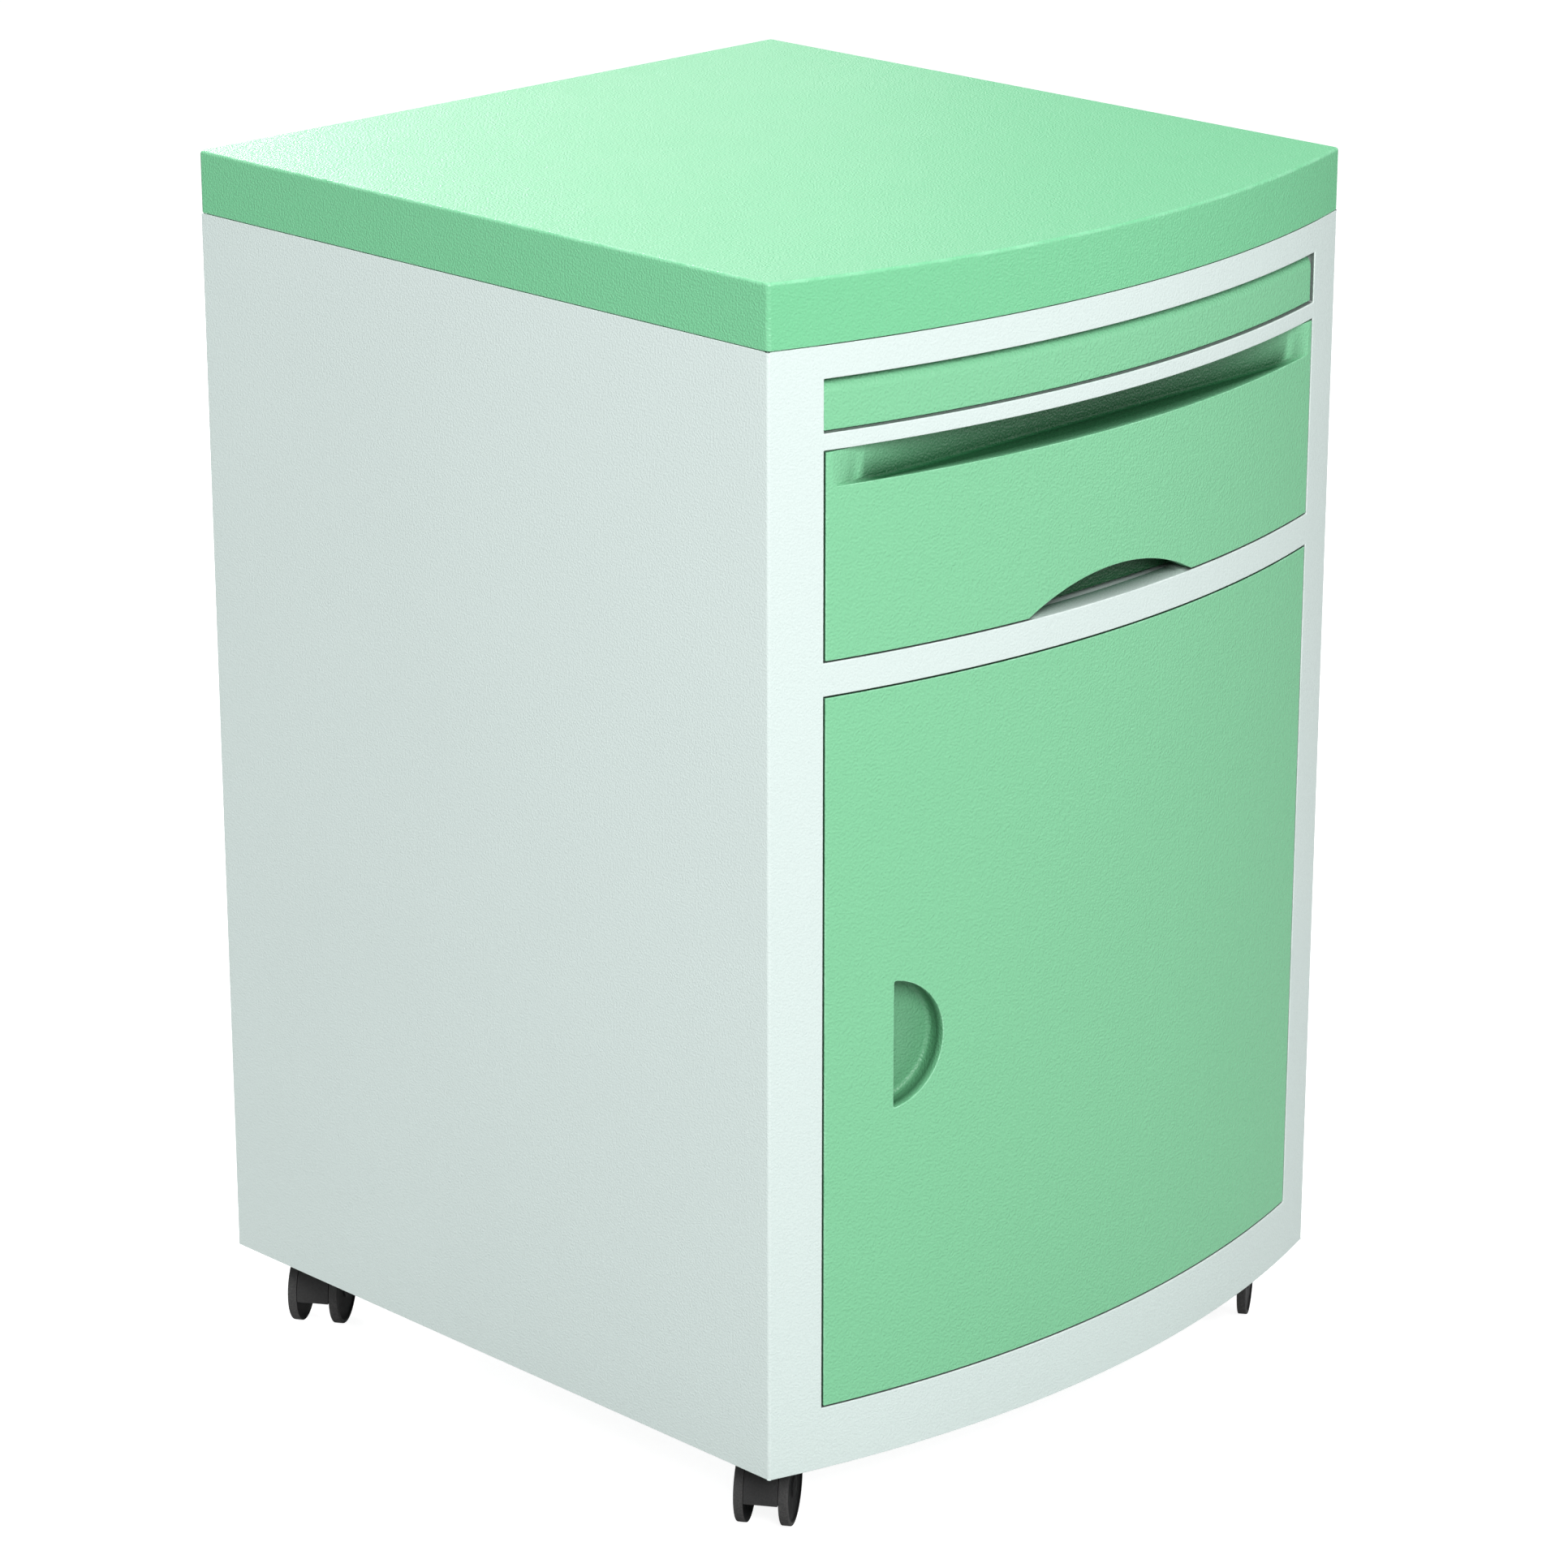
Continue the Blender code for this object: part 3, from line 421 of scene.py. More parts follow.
def dust_group():
    """Dust that gathers low down, thinning out with height above the floor."""
    group, bench, source, sink = open_group(
        "floor_dust", [("Height", 0.08), ("Amount", 0.3)], ["Dust"])
    height = bench.add("ShaderNodeSeparateXYZ", {"Vector": source["Vector"]}).outputs["Z"]
    low = bench.maths("SUBTRACT", 1.0, bench.maths("DIVIDE", height, source["Height"]), clamp=True)
    flecks = bench.spread(bench.noise(source["Vector"], 900.0, 4.0, 0.7), 0.4, 0.68)
    dust = bench.maths("MULTIPLY", bench.maths("MULTIPLY", low, flecks), source["Amount"])
    bench.feed(sink["Dust"], dust)
    return group


def gap_shadow_group():
    """Painted shadow in the gaps round the fronts, in a line just behind the bowed face."""
    group, bench, source, sink = open_group("gap_shadow_line", [("Seam", 0.0)], ["Dirt"])
    flat = bench.add("ShaderNodeVectorMath", {0: source["Vector"], 1: (1, 1, 0),
                     2: (0, -BOW_CENTRE_Y, 0)}, operation="MULTIPLY_ADD").outputs["Vector"]
    radius = bench.add("ShaderNodeVectorMath", {0: flat}, operation="LENGTH").outputs["Value"]
    behind = bench.maths("SUBTRACT", BOW_RADIUS, radius)
    line = bench.maths("MULTIPLY", bench.spread(behind, 0.0003, 0.0008),
                       bench.spread(behind, 0.0025, 0.0050, 1.0, 0.0))
    bench.feed(sink["Dirt"], bench.maths("MULTIPLY", line, source["Seam"]))
    return group


GRAIN, TONE, WEAR_AND_HIGHLIGHT = grain_group(), tone_group(), wear_and_highlight_group()
DUST, GAP_SHADOW = dust_group(), gap_shadow_group()


def open_material(name):
    material = bpy.data.materials.new(name)
    material.use_nodes = True
    bench = Bench(material.node_tree)
    shader = material.node_tree.nodes["Principled BSDF"]
    place = bench.add("ShaderNodeTexCoord").outputs["Object"]
    return material, bench, shader, place


def use_group(bench, group, **inputs):
    node = bench.add("ShaderNodeGroup", node_tree=group)
    for key, value in inputs.items():
        bench.feed(node.inputs[key.replace("_", " ")], value)
    return node.outputs


def shade(colour, factor):
    return (*[min(c * factor, 1.0) for c in colour], 1.0)


DUST_COLOUR = (0.42, 0.40, 0.37, 1.0)


def moulded_plastic(name, colour, rubbed_highlight, pebbles, relief, roughness, dust=0.10, reach=0.10,
                    drift=0.008, wear_highlight=0.45, specular=0.5, recess_shade=0.0, gap_shadow=0.0):
    """Grained moulding: colour drifts a little, outer edges are lightened for rubbing and as a painted
    highlight, dust lies low down.

    pebbles are counted per metre, relief is their height, reach is how high dust gets, and recess_shade
    and gap_shadow say how dark the painted shade in the finger holds and the painted shadow in the gaps
    round the fronts become.
    """
    material, bench, shader, place = open_material(name)
    grain = use_group(bench, GRAIN, Vector=place, Pebbles_per_metre=pebbles)
    tone = use_group(bench, TONE, Vector=place)
    edge = bench.add("ShaderNodeAttribute", attribute_name="edge").outputs["Fac"]
    worn_highlight = use_group(bench, WEAR_AND_HIGHLIGHT, Vector=place, Edge=edge, Amount=wear_highlight)["Worn"]
    dusty = use_group(bench, DUST, Vector=place, Height=reach, Amount=dust)["Dust"]
    base = bench.blend(tone["Tone"], shade(colour, 1 - drift), shade(colour, 1 + drift))
    fleck = bench.spread(grain["Speckle"], 0.35, 0.65)
    base = bench.blend(bench.maths("MULTIPLY", fleck, 0.2), base, shade(colour, 1 + 3 * drift))
    # painted shade: points in the finger holds, under the drawer's arch and on the tray's grip blend
    # towards a deep dark green
    if recess_shade:
        hold = bench.add("ShaderNodeAttribute", attribute_name="recess").outputs["Fac"]
        deep = tuple(share * part for share, part in zip((0.05, 0.16, 0.10), colour))
        base = bench.blend(bench.maths("MULTIPLY", hold, recess_shade), base, (*deep, 1.0))
    # painted shadow: the walls of the gaps round the fronts are darkened just behind the face
    if gap_shadow:
        seam = bench.add("ShaderNodeAttribute", attribute_name="seam").outputs["Fac"]
        gap_shadow_mask = use_group(bench, GAP_SHADOW, Vector=place, Seam=seam)["Dirt"]
        base = bench.blend(bench.maths("MULTIPLY", gap_shadow_mask, gap_shadow), base, shade(colour, 0.06))
    # painted highlight: outer edges are lightened partly for rubbing and partly to stand in for the
    # light their small rounds catch
    base = bench.blend(worn_highlight, base, (*rubbed_highlight, 1.0))
    base = bench.blend(dusty, base, DUST_COLOUR)
    bench.feed(shader.inputs["Base Color"], base)
    shader.inputs["Specular IOR Level"].default_value = specular
    rough = bench.spread(tone["Handled"], 0.0, 1.0, roughness + 0.01, roughness - 0.015)
    rough = bench.maths("SUBTRACT", rough, bench.maths("MULTIPLY", worn_highlight, 0.12))
    rough = bench.maths("ADD", rough, bench.maths("MULTIPLY", dusty, 0.4), clamp=True)
    bench.feed(shader.inputs["Roughness"], rough)
    bump = bench.add("ShaderNodeBump", {"Height": grain["Height"], "Distance": relief,
                     "Strength": 1.0})
    bench.feed(shader.inputs["Normal"], bump.outputs["Normal"])
    return material


def zinc_steel():
    """Zinc-plated pressed steel: faint rolling lines and small spangles."""
    material, bench, shader, place = open_material("zinc_steel")
    lines = bench.add("ShaderNodeMapping", {"Vector": place, "Scale": (30.0, 30.0, 900.0)})
    rolled = bench.noise(lines.outputs["Vector"], 1.0, 3.0, 0.6)
    spangle = bench.add("ShaderNodeTexVoronoi", {"Vector": place, "Scale": 260.0}).outputs["Color"]
    spangle = bench.add("ShaderNodeSeparateColor", {"Color": spangle}).outputs[0]
    base = bench.blend(bench.maths("MULTIPLY", spangle, 0.5), (0.58, 0.60, 0.63, 1.0),
                       (0.70, 0.71, 0.72, 1.0))
    bench.feed(shader.inputs["Base Color"], base)
    shader.inputs["Metallic"].default_value = 1.0
    bench.feed(shader.inputs["Roughness"], bench.spread(rolled, 0.3, 0.7, 0.28, 0.44))
    bump = bench.add("ShaderNodeBump", {"Height": rolled, "Distance": 0.00002, "Strength": 0.6})
    bench.feed(shader.inputs["Normal"], bump.outputs["Normal"])
    return material


FLOOR_GLOW = 0.88


def studio_floor():
    """Pale seamless floor, very faintly mottled."""
    material, bench, shader, place = open_material("studio_floor")
    cloud = bench.spread(bench.noise(place, 3.0, 4.0, 0.6), 0.3, 0.7)
    base = bench.blend(cloud, (0.45, 0.45, 0.45, 1.0), (0.47, 0.47, 0.47, 1.0))
    bench.feed(shader.inputs["Base Color"], base)
    shader.inputs["Roughness"].default_value = 0.9
    shader.inputs["Specular IOR Level"].default_value = 0.0
    seen = bench.add("ShaderNodeLightPath").outputs["Is Camera Ray"]
    bench.feed(shader.inputs["Emission Color"], bench.blend(seen, (0, 0, 0, 1), (1, 1, 1, 1)))
    shader.inputs["Emission Strength"].default_value = FLOOR_GLOW
    material.cycles.emission_sampling = "NONE"
    return material


MINT_COLOUR = (0.193, 0.527, 0.293)
# painted shade: the top's copy of the mint is less red, offsetting the sheen its lighting gives the top
MINT_TOP_SHADED_COLOUR = (0.168, 0.525, 0.278)
# edge colours: lighter partly for rubbing and partly as a painted highlight on the small rounds
MINT_RUBBED_HIGHLIGHT = (0.42, 0.78, 0.55)
PALE_COLOUR = (0.605, 0.695, 0.672)
PALE_RUBBED_HIGHLIGHT = (0.80, 0.86, 0.84)
PALE_INNER_RUBBED_HIGHLIGHT = (0.78, 0.84, 0.82)
DARK_RUBBED_HIGHLIGHT = (0.06, 0.06, 0.06)

MINT_TOP = moulded_plastic("mint_top_shaded_grain", MINT_TOP_SHADED_COLOUR, MINT_RUBBED_HIGHLIGHT, pebbles=800.0,
                           relief=0.00022, roughness=0.38, specular=0.40)
MINT = moulded_plastic("mint_moulding", MINT_COLOUR, MINT_RUBBED_HIGHLIGHT, pebbles=700.0,
                       relief=0.00024, roughness=0.46, recess_shade=1.0, gap_shadow=0.9)
PALE = moulded_plastic("pale_moulding", PALE_COLOUR, PALE_RUBBED_HIGHLIGHT, pebbles=800.0,
                       relief=0.00012, roughness=0.50, recess_shade=0.9, gap_shadow=0.8)
PALE_INNER = moulded_plastic("pale_inner_moulding", PALE_COLOUR, PALE_INNER_RUBBED_HIGHLIGHT,
                             pebbles=620.0, relief=0.00004, roughness=0.55, wear_highlight=0.3)
NYLON = moulded_plastic("cream_nylon", (0.66, 0.65, 0.58), (0.78, 0.77, 0.71), pebbles=900.0,
                        relief=0.00003, roughness=0.38)
BLACK = moulded_plastic("black_moulding", (0.007, 0.007, 0.0075), (0.03, 0.03, 0.03),
                        pebbles=1100.0, relief=0.00003, roughness=0.42, dust=0.0, reach=0.05,
                        drift=0.08, specular=0.06)
# painted light: a lighter copy of the black for the wheels' treads, where the key light falls; the
# wheel sides keep the darker black
TREAD_LIT = moulded_plastic("tread_lit_black", (0.040, 0.040, 0.0405), DARK_RUBBED_HIGHLIGHT,
                               pebbles=1500.0, relief=0.00003, roughness=0.62, dust=0.15,
                               reach=0.05, drift=0.10, specular=0.2)
HOOD = moulded_plastic("hood_moulding", (0.030, 0.030, 0.0305), DARK_RUBBED_HIGHLIGHT, pebbles=1100.0,
                       relief=0.00003, roughness=0.45, dust=0.05, reach=0.05, drift=0.08,
                       specular=0.2)
FERRITE = moulded_plastic("ferrite", (0.055, 0.055, 0.06), (0.12, 0.12, 0.13), pebbles=1300.0,
                          relief=0.00008, roughness=0.70)
ZINC = zinc_steel()


# ---- top, frame, sides, back --------------------------------------------------------
def make_top():
    """Moulded top: turned-down edge, rounded over, hollow underneath."""
    wall, over, corner, foot, ease = 0.004, 0.0018, 0.0030, 0.0005, 0.0006
    low, high = TOP_LOW.z, TOP_HIGH.z

    def loop(inset, z):
        return bow_plan(HALF - inset, inset, BACK_Y - inset, max(corner - inset, 0.0008), z)

    loops = [loop(wall + ease, high - wall), loop(wall, high - wall - ease), loop(wall, low + foot),
             loop(wall - foot, low)]
    loops += [loop(inset, low + drop) for inset, drop in reversed(quarter(foot))]
    loops += [loop(0, high - 2 * over)]
    loops += [loop(inset, high - drop) for inset, drop in quarter(over, 5)]
    loops += [loop(over + ease, high)]
    piece("top_panel_moulding", stacked(loops), MINT_TOP, "cabinet", "top_panel")


WRAP = 0.0040            # the frame turns this far round the front corners
CORNER_ROUND = 0.0020


def frame_paths():
    """Plan of the frame's face and of its back, point for point."""
    cx = HALF - CORNER_ROUND
    inner = BOW_RADIUS - CORNER_ROUND
    lean = asin(cx / inner)
    cy = BOW_CENTRE_Y - inner * cos(lean)
    xs = sweep(-OPENING_HALF, OPENING_HALF, BOW_STEPS)
    edge_x = BOW_RADIUS * sin(lean)
    rail = sweep(OPENING_HALF, edge_x, 5)[1:]
    face = [(x, bow_y(x)) for x in [-x for x in reversed(rail)] + xs + rail]
    back_half = HALF - SKIN - JOIN
    back_rail = sweep(OPENING_HALF, back_half, 5)[1:]
    back = [(x, bow_y(x, FRAME_THICK)) for x in [-x for x in reversed(back_rail)] + xs + back_rail]
    round_right = fillet(cx, cy, CORNER_ROUND, lean - pi / 2, 0)[1:]
    round_right.append((HALF, CORNER_Y + WRAP))
    back_end = back[-1][1]
    turn = [(back_half, y) for y in sweep(back_end, CORNER_Y + WRAP, len(round_right))[1:]]
    mirror = [(-x, y) for x, y in reversed(round_right)]
    face = mirror + face + round_right
    back = [(-x, y) for x, y in reversed(turn)] + back + turn
    return face, back, len(mirror) + len(rail)


def off_the_seam(edge):
    """True unless the edge lies where the frame and a side panel meet."""
    return any(abs(vert.co.y - CORNER_Y - WRAP) > 1e-5 for vert in edge.verts)


def eased_panel(bm, low, high):
    """Rounds a panel's edges, those of its two ends more finely, and leaves its seam alone."""
    def at_end(edge):
        return all(min(vert.co.z - low, high - vert.co.z) < 1e-6 for vert in edge.verts)

    eased(bm, choose=lambda edge: off_the_seam(edge) and not at_end(edge))
    return eased(bm, END_EDGE, choose=lambda edge: off_the_seam(edge) and at_end(edge))


def under_arch(point):
    """True on the frame's rail where the drawer's finger arch leaves it open."""
    return abs(point.x) < ARCH_HALF - 0.004 and abs(point.z - DRAWER_LOW.z + LEVEL_GAP) < 2 * EDGE


def make_frame():
    """Bowed front frame with its three openings, turned round both front corners."""
    face, back, first = frame_paths()
    last = first + BOW_STEPS
    levels = sorted([FRAME_LOW.z, FRAME_HIGH.z]
                    + [z + sign * LEVEL_GAP for low, high in ((DOOR_LOW, DOOR_HIGH),
                       (DRAWER_LOW, DRAWER_HIGH), (TRAY_LOW, TRAY_HIGH))
                       for z, sign in ((low.z, -1), (high.z, 1))])
    bm = bmesh.new()
    grid = [[[bm.verts.new((x, y, z)) for x, y in path] for z in levels] for path in (face, back)]

    def is_open(i, j):
        return first <= i < last and 0 < j < len(levels) - 2 and j % 2 == 1

    columns, rows = len(face) - 1, len(levels) - 1
    for i in range(columns):
        for j in range(rows):
            if is_open(i, j):
                continue
            for side in grid:
                bm.faces.new((side[j][i], side[j][i + 1], side[j + 1][i + 1], side[j + 1][i]))
            for ni, nj, a, b in ((i - 1, j, (i, j), (i, j + 1)),
                                 (i + 1, j, (i + 1, j), (i + 1, j + 1)),
                                 (i, j - 1, (i, j), (i + 1, j)),
                                 (i, j + 1, (i, j + 1), (i + 1, j + 1))):
                outside = ni < 0 or nj < 0 or ni >= columns or nj >= rows
                if outside or is_open(ni, nj):
                    corners = [grid[0][a[1]][a[0]], grid[0][b[1]][b[0]],
                               grid[1][b[1]][b[0]], grid[1][a[1]][a[0]]]
                    if len(set(corners)) == 4:
                        bm.faces.new(corners)
    bmesh.ops.remove_doubles(bm, verts=bm.verts, dist=1e-7)
    outward(bm)
    eased_panel(bm, FRAME_LOW.z, FRAME_HIGH.z)
    # recess here paints shade on the rail top under the drawer's arch; seam marks the opening walls for
    # the painted gap shadow
    piece("front_frame_moulding", bm, PALE, "cabinet", "front_frame",
          recess=lambda point: under_arch(point) and point.y > bow_y(point.x, FRAME_THICK / 2),
          seam=lambda point: abs(point.x) < OPENING_HALF + EDGE and not under_arch(point))


def make_sides():
    """Side panels with a rounded rear corner, rear return and ledges for the decks."""
    ledge, ledge_thick, flange, rear = 0.012, 0.004, 0.016, 0.0016
    deck_nodes = ("base_panel", "cupboard_shelf", "drawer_deck", "tray_deck")
    ledge_tops = [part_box(node)[0].z - JOIN for node in deck_nodes]
    inner = HALF - SKIN
    front = CORNER_Y + WRAP
    flange_y = DECK_BACK_Y - SKIN + JOIN
    outline = [(HALF, front), *fillet(HALF - rear, BACK_Y - rear, rear, 0, pi / 2),
               (inner, BACK_Y), (inner, DECK_BACK_Y), (inner - flange, DECK_BACK_Y),
               (inner - flange, flange_y), (inner, flange_y), (inner, front)]
    for side, sign in (("left", -1), ("right", 1)):
        panel = prism([(sign * x, y) for x, y in outline], SIDE_LOW.z, SIDE_HIGH.z)
        ledges = []
        for top in ledge_tops:
            x0, x1 = sorted((sign * (inner - ledge), sign * (inner + SKIN / 2)))
            ledges.append(block(x0, x1, CORNER_Y + 0.025, DECK_BACK_Y - 0.009, top - ledge_thick, top))
        bm = eased_panel(carved(panel, joins=ledges), SIDE_LOW.z, SIDE_HIGH.z)
        piece(f"{side}_side_moulding", bm, PALE, "cabinet", f"{side}_side_panel")


def make_back():
    """Back panel with two long stiffening swages pressed into it."""
    low, high = BACK_LOW, BACK_HIGH
    swages = []
    for sign in (-1, 1):
        x = sign * 0.095
        loops = [box_plan((x - 0.055 + inset, low.z + 0.06 + inset), (x + 0.055 - inset, high.z - 0.06
                 - inset), 0.018 - inset, high.y + 0.001 - drop)
                 for inset, drop in ((0, 0), (0, 0.001), (0.0012, 0.0022), (0.004, 0.0030))]
        swages.append(stacked([[(px, py, pz) for px, pz, py in loop] for loop in loops]))
    panel = carved(block(low.x, high.x, low.y, high.y, low.z, high.z), cuts=swages)
    piece("back_panel_pressing", eased(panel, 0.0006), PALE, "cabinet", "back_panel")


# ---- tray ---------------------------------------------------------------------------
def make_tray():
    grip, back_y = 0.008, TRAY_HIGH.y
    setback = TRAY_LOW.y - TOP_LOW.y
    low, high = TRAY_LOW.z, TRAY_HIGH.z
    arc = [(setback + inset, high - drop) for inset, drop in quarter(grip, 8)]
    section = [(setback, low)] + arc
    rings = []
    for x in sweep(-FRONT_HALF, FRONT_HALF, BOW_STEPS):
        ring = [(x, bow_y(x, depth), z) for depth, z in section]
        rings.append(ring + [(x, back_y, high), (x, back_y, low)])
    bm = eased(stacked(rings), 0.0006)
    # recess here paints shade on the grip's rounded upper edge, which lies under the frame rail
    piece("tray_front_moulding", bm, MINT, "tray", "tray_front",
          recess=lambda point: 0.6 * (point.y - bow_y(point.x, setback)) / grip
          if point.z > high - grip - 1e-5 else 0)

    rim, sink, ease, corner = 0.018, 0.0025, 0.0012, 0.012
    z0, z1 = BOARD_LOW.z, BOARD_HIGH.z
    steps = [(2 * ease, z0)] + [(inset, z0 + drop) for inset, drop in reversed(quarter(ease))]
    steps += [(inset, z1 - drop) for inset, drop in quarter(ease)]
    steps += [(rim - 0.001, z1), (rim, z1 - 0.0003), (rim + 0.0006, z1 - 0.0012)]
    steps += [(rim + 0.0016, z1 - sink + 0.0002), (rim + 0.0035, z1 - sink),
              (rim + 0.0045, z1 - sink)]
    piece("tray_board_moulding", rounded_box(BOARD_LOW, BOARD_HIGH, corner, 0.004, steps),
          PALE_INNER, "tray", "tray_board")


# ---- drawer -------------------------------------------------------------------------
SCOOP_DEPTH, SCOOP_FALL = 0.0197, 0.0018
SCOOP_BACK_Y = CORNER_Y - 0.0120
ARCH_HALF, ARCH_RISE, ARCH_BACK_Y = 0.070, 0.0180, CORNER_Y - 0.0205
PAST = 0.010


def on_rim(low, high):
    """Rule that is 1 on the narrow sides of a bowed front between two levels."""
    return lambda point: abs(point.x) > FRONT_HALF - EDGE or not low + EDGE < point.z < high - EDGE


def drawer_columns():
    """Where the front's cross-section is drawn: close together at the arch and at both ends."""
    near_end = 0.196
    half = sweep(ARCH_HALF, near_end, 20) + sweep(near_end, FRONT_HALF, 14)[1:]
    return [-x for x in reversed(half)] + sweep(-ARCH_HALF, ARCH_HALF, 48)[1:-1] + half


def drawer_section(x):
    """Cross-section of the drawer front at x: arch below, bowed face, scoop above."""
    over, cove = 0.0006, 0.0022
    low, high, back = DRAWER_LOW.z, DRAWER_HIGH.z, DRAWER_HIGH.y
    face = bow_y(x)
    radius = (ARCH_HALF ** 2 + ARCH_RISE ** 2) / (2 * ARCH_RISE)
    rise = ARCH_RISE - radius + sqrt(radius ** 2 - min(abs(x), ARCH_HALF) ** 2)
    arch = low + max(rise, 0)
    arch_back = max(ARCH_BACK_Y, face + over)
    depth = max(SCOOP_BACK_Y - face, 0)
    wall = face + depth
    lip = high - SCOOP_DEPTH
    lip_round, cove = min(over, depth / 2), min(cove, 0.4 * depth)
    floor = lip - SCOOP_FALL * min(depth / 0.010, 1)
    points = [(back, low), (arch_back, low), (arch_back, arch)]
    points += [(face + inset, arch + drop) for inset, drop in reversed(quarter(over))]
    points += [(face + inset, lip - drop) for inset, drop in quarter(lip_round)]
    points += [(face + depth * share, lip - (lip - floor) * share) for share in (0.2, 0.5)]
    points += [(wall - cove + cove * sin(a), floor + cove - cove * cos(a)) for a in sweep(0, pi / 2, 5)]
    points += [(wall + inset, high - drop) for inset, drop in quarter(over)]
    return [(x, y, z) for y, z in points + [(back, high)]]


def make_drawer_front():
    """Bowed front with a finger scoop along the top and an arch in the lower edge."""
    bm = outward(welded(stacked([drawer_section(x) for x in drawer_columns()])))

    def at_end_or_back(edge):
        return (all(abs(vert.co.x) > FRONT_HALF - 1e-6 for vert in edge.verts)
                or all(vert.co.y > DRAWER_HIGH.y - 1e-6 for vert in edge.verts))

    # painted shade: scoop and arch surfaces darken the deeper they lie behind the face, and the scoop's
    # upper wall gets a lighter share
    def hold_shade(point):
        lip, arch_top = DRAWER_HIGH.z - SCOOP_DEPTH, DRAWER_LOW.z + ARCH_RISE
        behind = point.y - bow_y(point.x)
        if point.z > lip + 0.001:
            return 0.28 * min(behind / 0.015, 1) if point.y < SCOOP_BACK_Y + 1e-5 else 0
        in_scoop = point.z > lip - SCOOP_FALL - 1e-4 and point.y < SCOOP_BACK_Y + 1e-5
        in_arch = (point.z < arch_top + 1e-4 and abs(point.x) < ARCH_HALF
                   and point.y < ARCH_BACK_Y + 1e-5)
        return (behind - 0.0006) / 0.007 if in_scoop or in_arch else 0

    piece("drawer_front_moulding", eased(bm, 0.0005, choose=at_end_or_back), MINT, "drawer",
          "drawer_front", recess=hold_shade, seam=on_rim(DRAWER_LOW.z, DRAWER_HIGH.z + PAST))


def make_drawer_box():
    """Open moulded box with rounded corners and a rounded rim."""
    wall, corner, cove, rim = 0.003, 0.010, 0.005, 0.0012
    z0, z1 = BOX_LOW.z, BOX_HIGH.z
    steps = [(0.004, z0)] + [(inset, z0 + drop) for inset, drop in reversed(quarter(0.002))]
    steps += [(inset, z1 - drop) for inset, drop in quarter(rim)]
    steps += [(wall - inset, z1 - drop) for inset, drop in reversed(quarter(rim))]
    steps += [(wall + inset, z0 + wall + drop) for inset, drop in quarter(cove, 5)]
    steps += [(wall + cove + 0.001, z0 + wall)]
    piece("drawer_box_moulding", rounded_box(BOX_LOW, BOX_HIGH, corner, 0.003, steps),
          PALE_INNER, "drawer", "drawer_box")


# ---- door ---------------------------------------------------------------------------
CUP_WIDTH, CUP_RADIUS, CUP_DEPTH = 0.0334, 0.039, 0.0145
CUP_EDGE = FRONT_HALF - 0.0443
CUP_Z = FRAME_LOW.z + 0.2534
CUP_LIP, CUP_UNDERCUT, CUP_WALL, CUP_HOOK_IN = 0.005, 0.010, 0.0025, 0.006


def cup_tools():
    """The handle cup with its coved floor, and the undercut behind its straight edge."""
    middle = CUP_EDGE - CUP_WIDTH / 2
    bulge = CUP_WIDTH / 2 / cos(asin(middle / BOW_RADIUS))
    centre, nose, cove = bulge - CUP_RADIUS, 0.0014, 0.0030

    def outline(inset, depth):
        radius, flat, corner = CUP_RADIUS - inset, -bulge + inset, max(nose - inset, 0.0004)
        top = sqrt((radius - corner) ** 2 - (flat + corner - centre) ** 2)
        lean = atan2(top, flat + corner - centre)
        loop = [(centre + radius * cos(a), radius * sin(a)) for a in sweep(-lean, lean, 44)]
        loop += fillet(flat + corner, top, corner, lean, pi)[1:]
        loop += fillet(flat + corner, -top, corner, pi, 2 * pi - lean)[:-1]
        return [(x, depth, z) for x, z in loop]

    loops = [outline(0, depth) for depth in (-PAST, 0.0025, 0.0060, CUP_DEPTH - cove)]
    loops += [outline(inset, CUP_DEPTH - drop) for inset, drop in quarter(cove, 5)[1:]]
    sweep_end = acos((-bulge - centre) / CUP_RADIUS)
    hook_half = CUP_RADIUS * sin(sweep_end) - CUP_HOOK_IN
    hook = block(-bulge - CUP_UNDERCUT, -bulge + CUP_WALL, CUP_LIP, CUP_DEPTH - 0.0005,
                 -hook_half, hook_half)
    place = square_to_bow(-middle) @ at(0, 0, CUP_Z)
    return moved(stacked(loops), place), moved(hook, place)


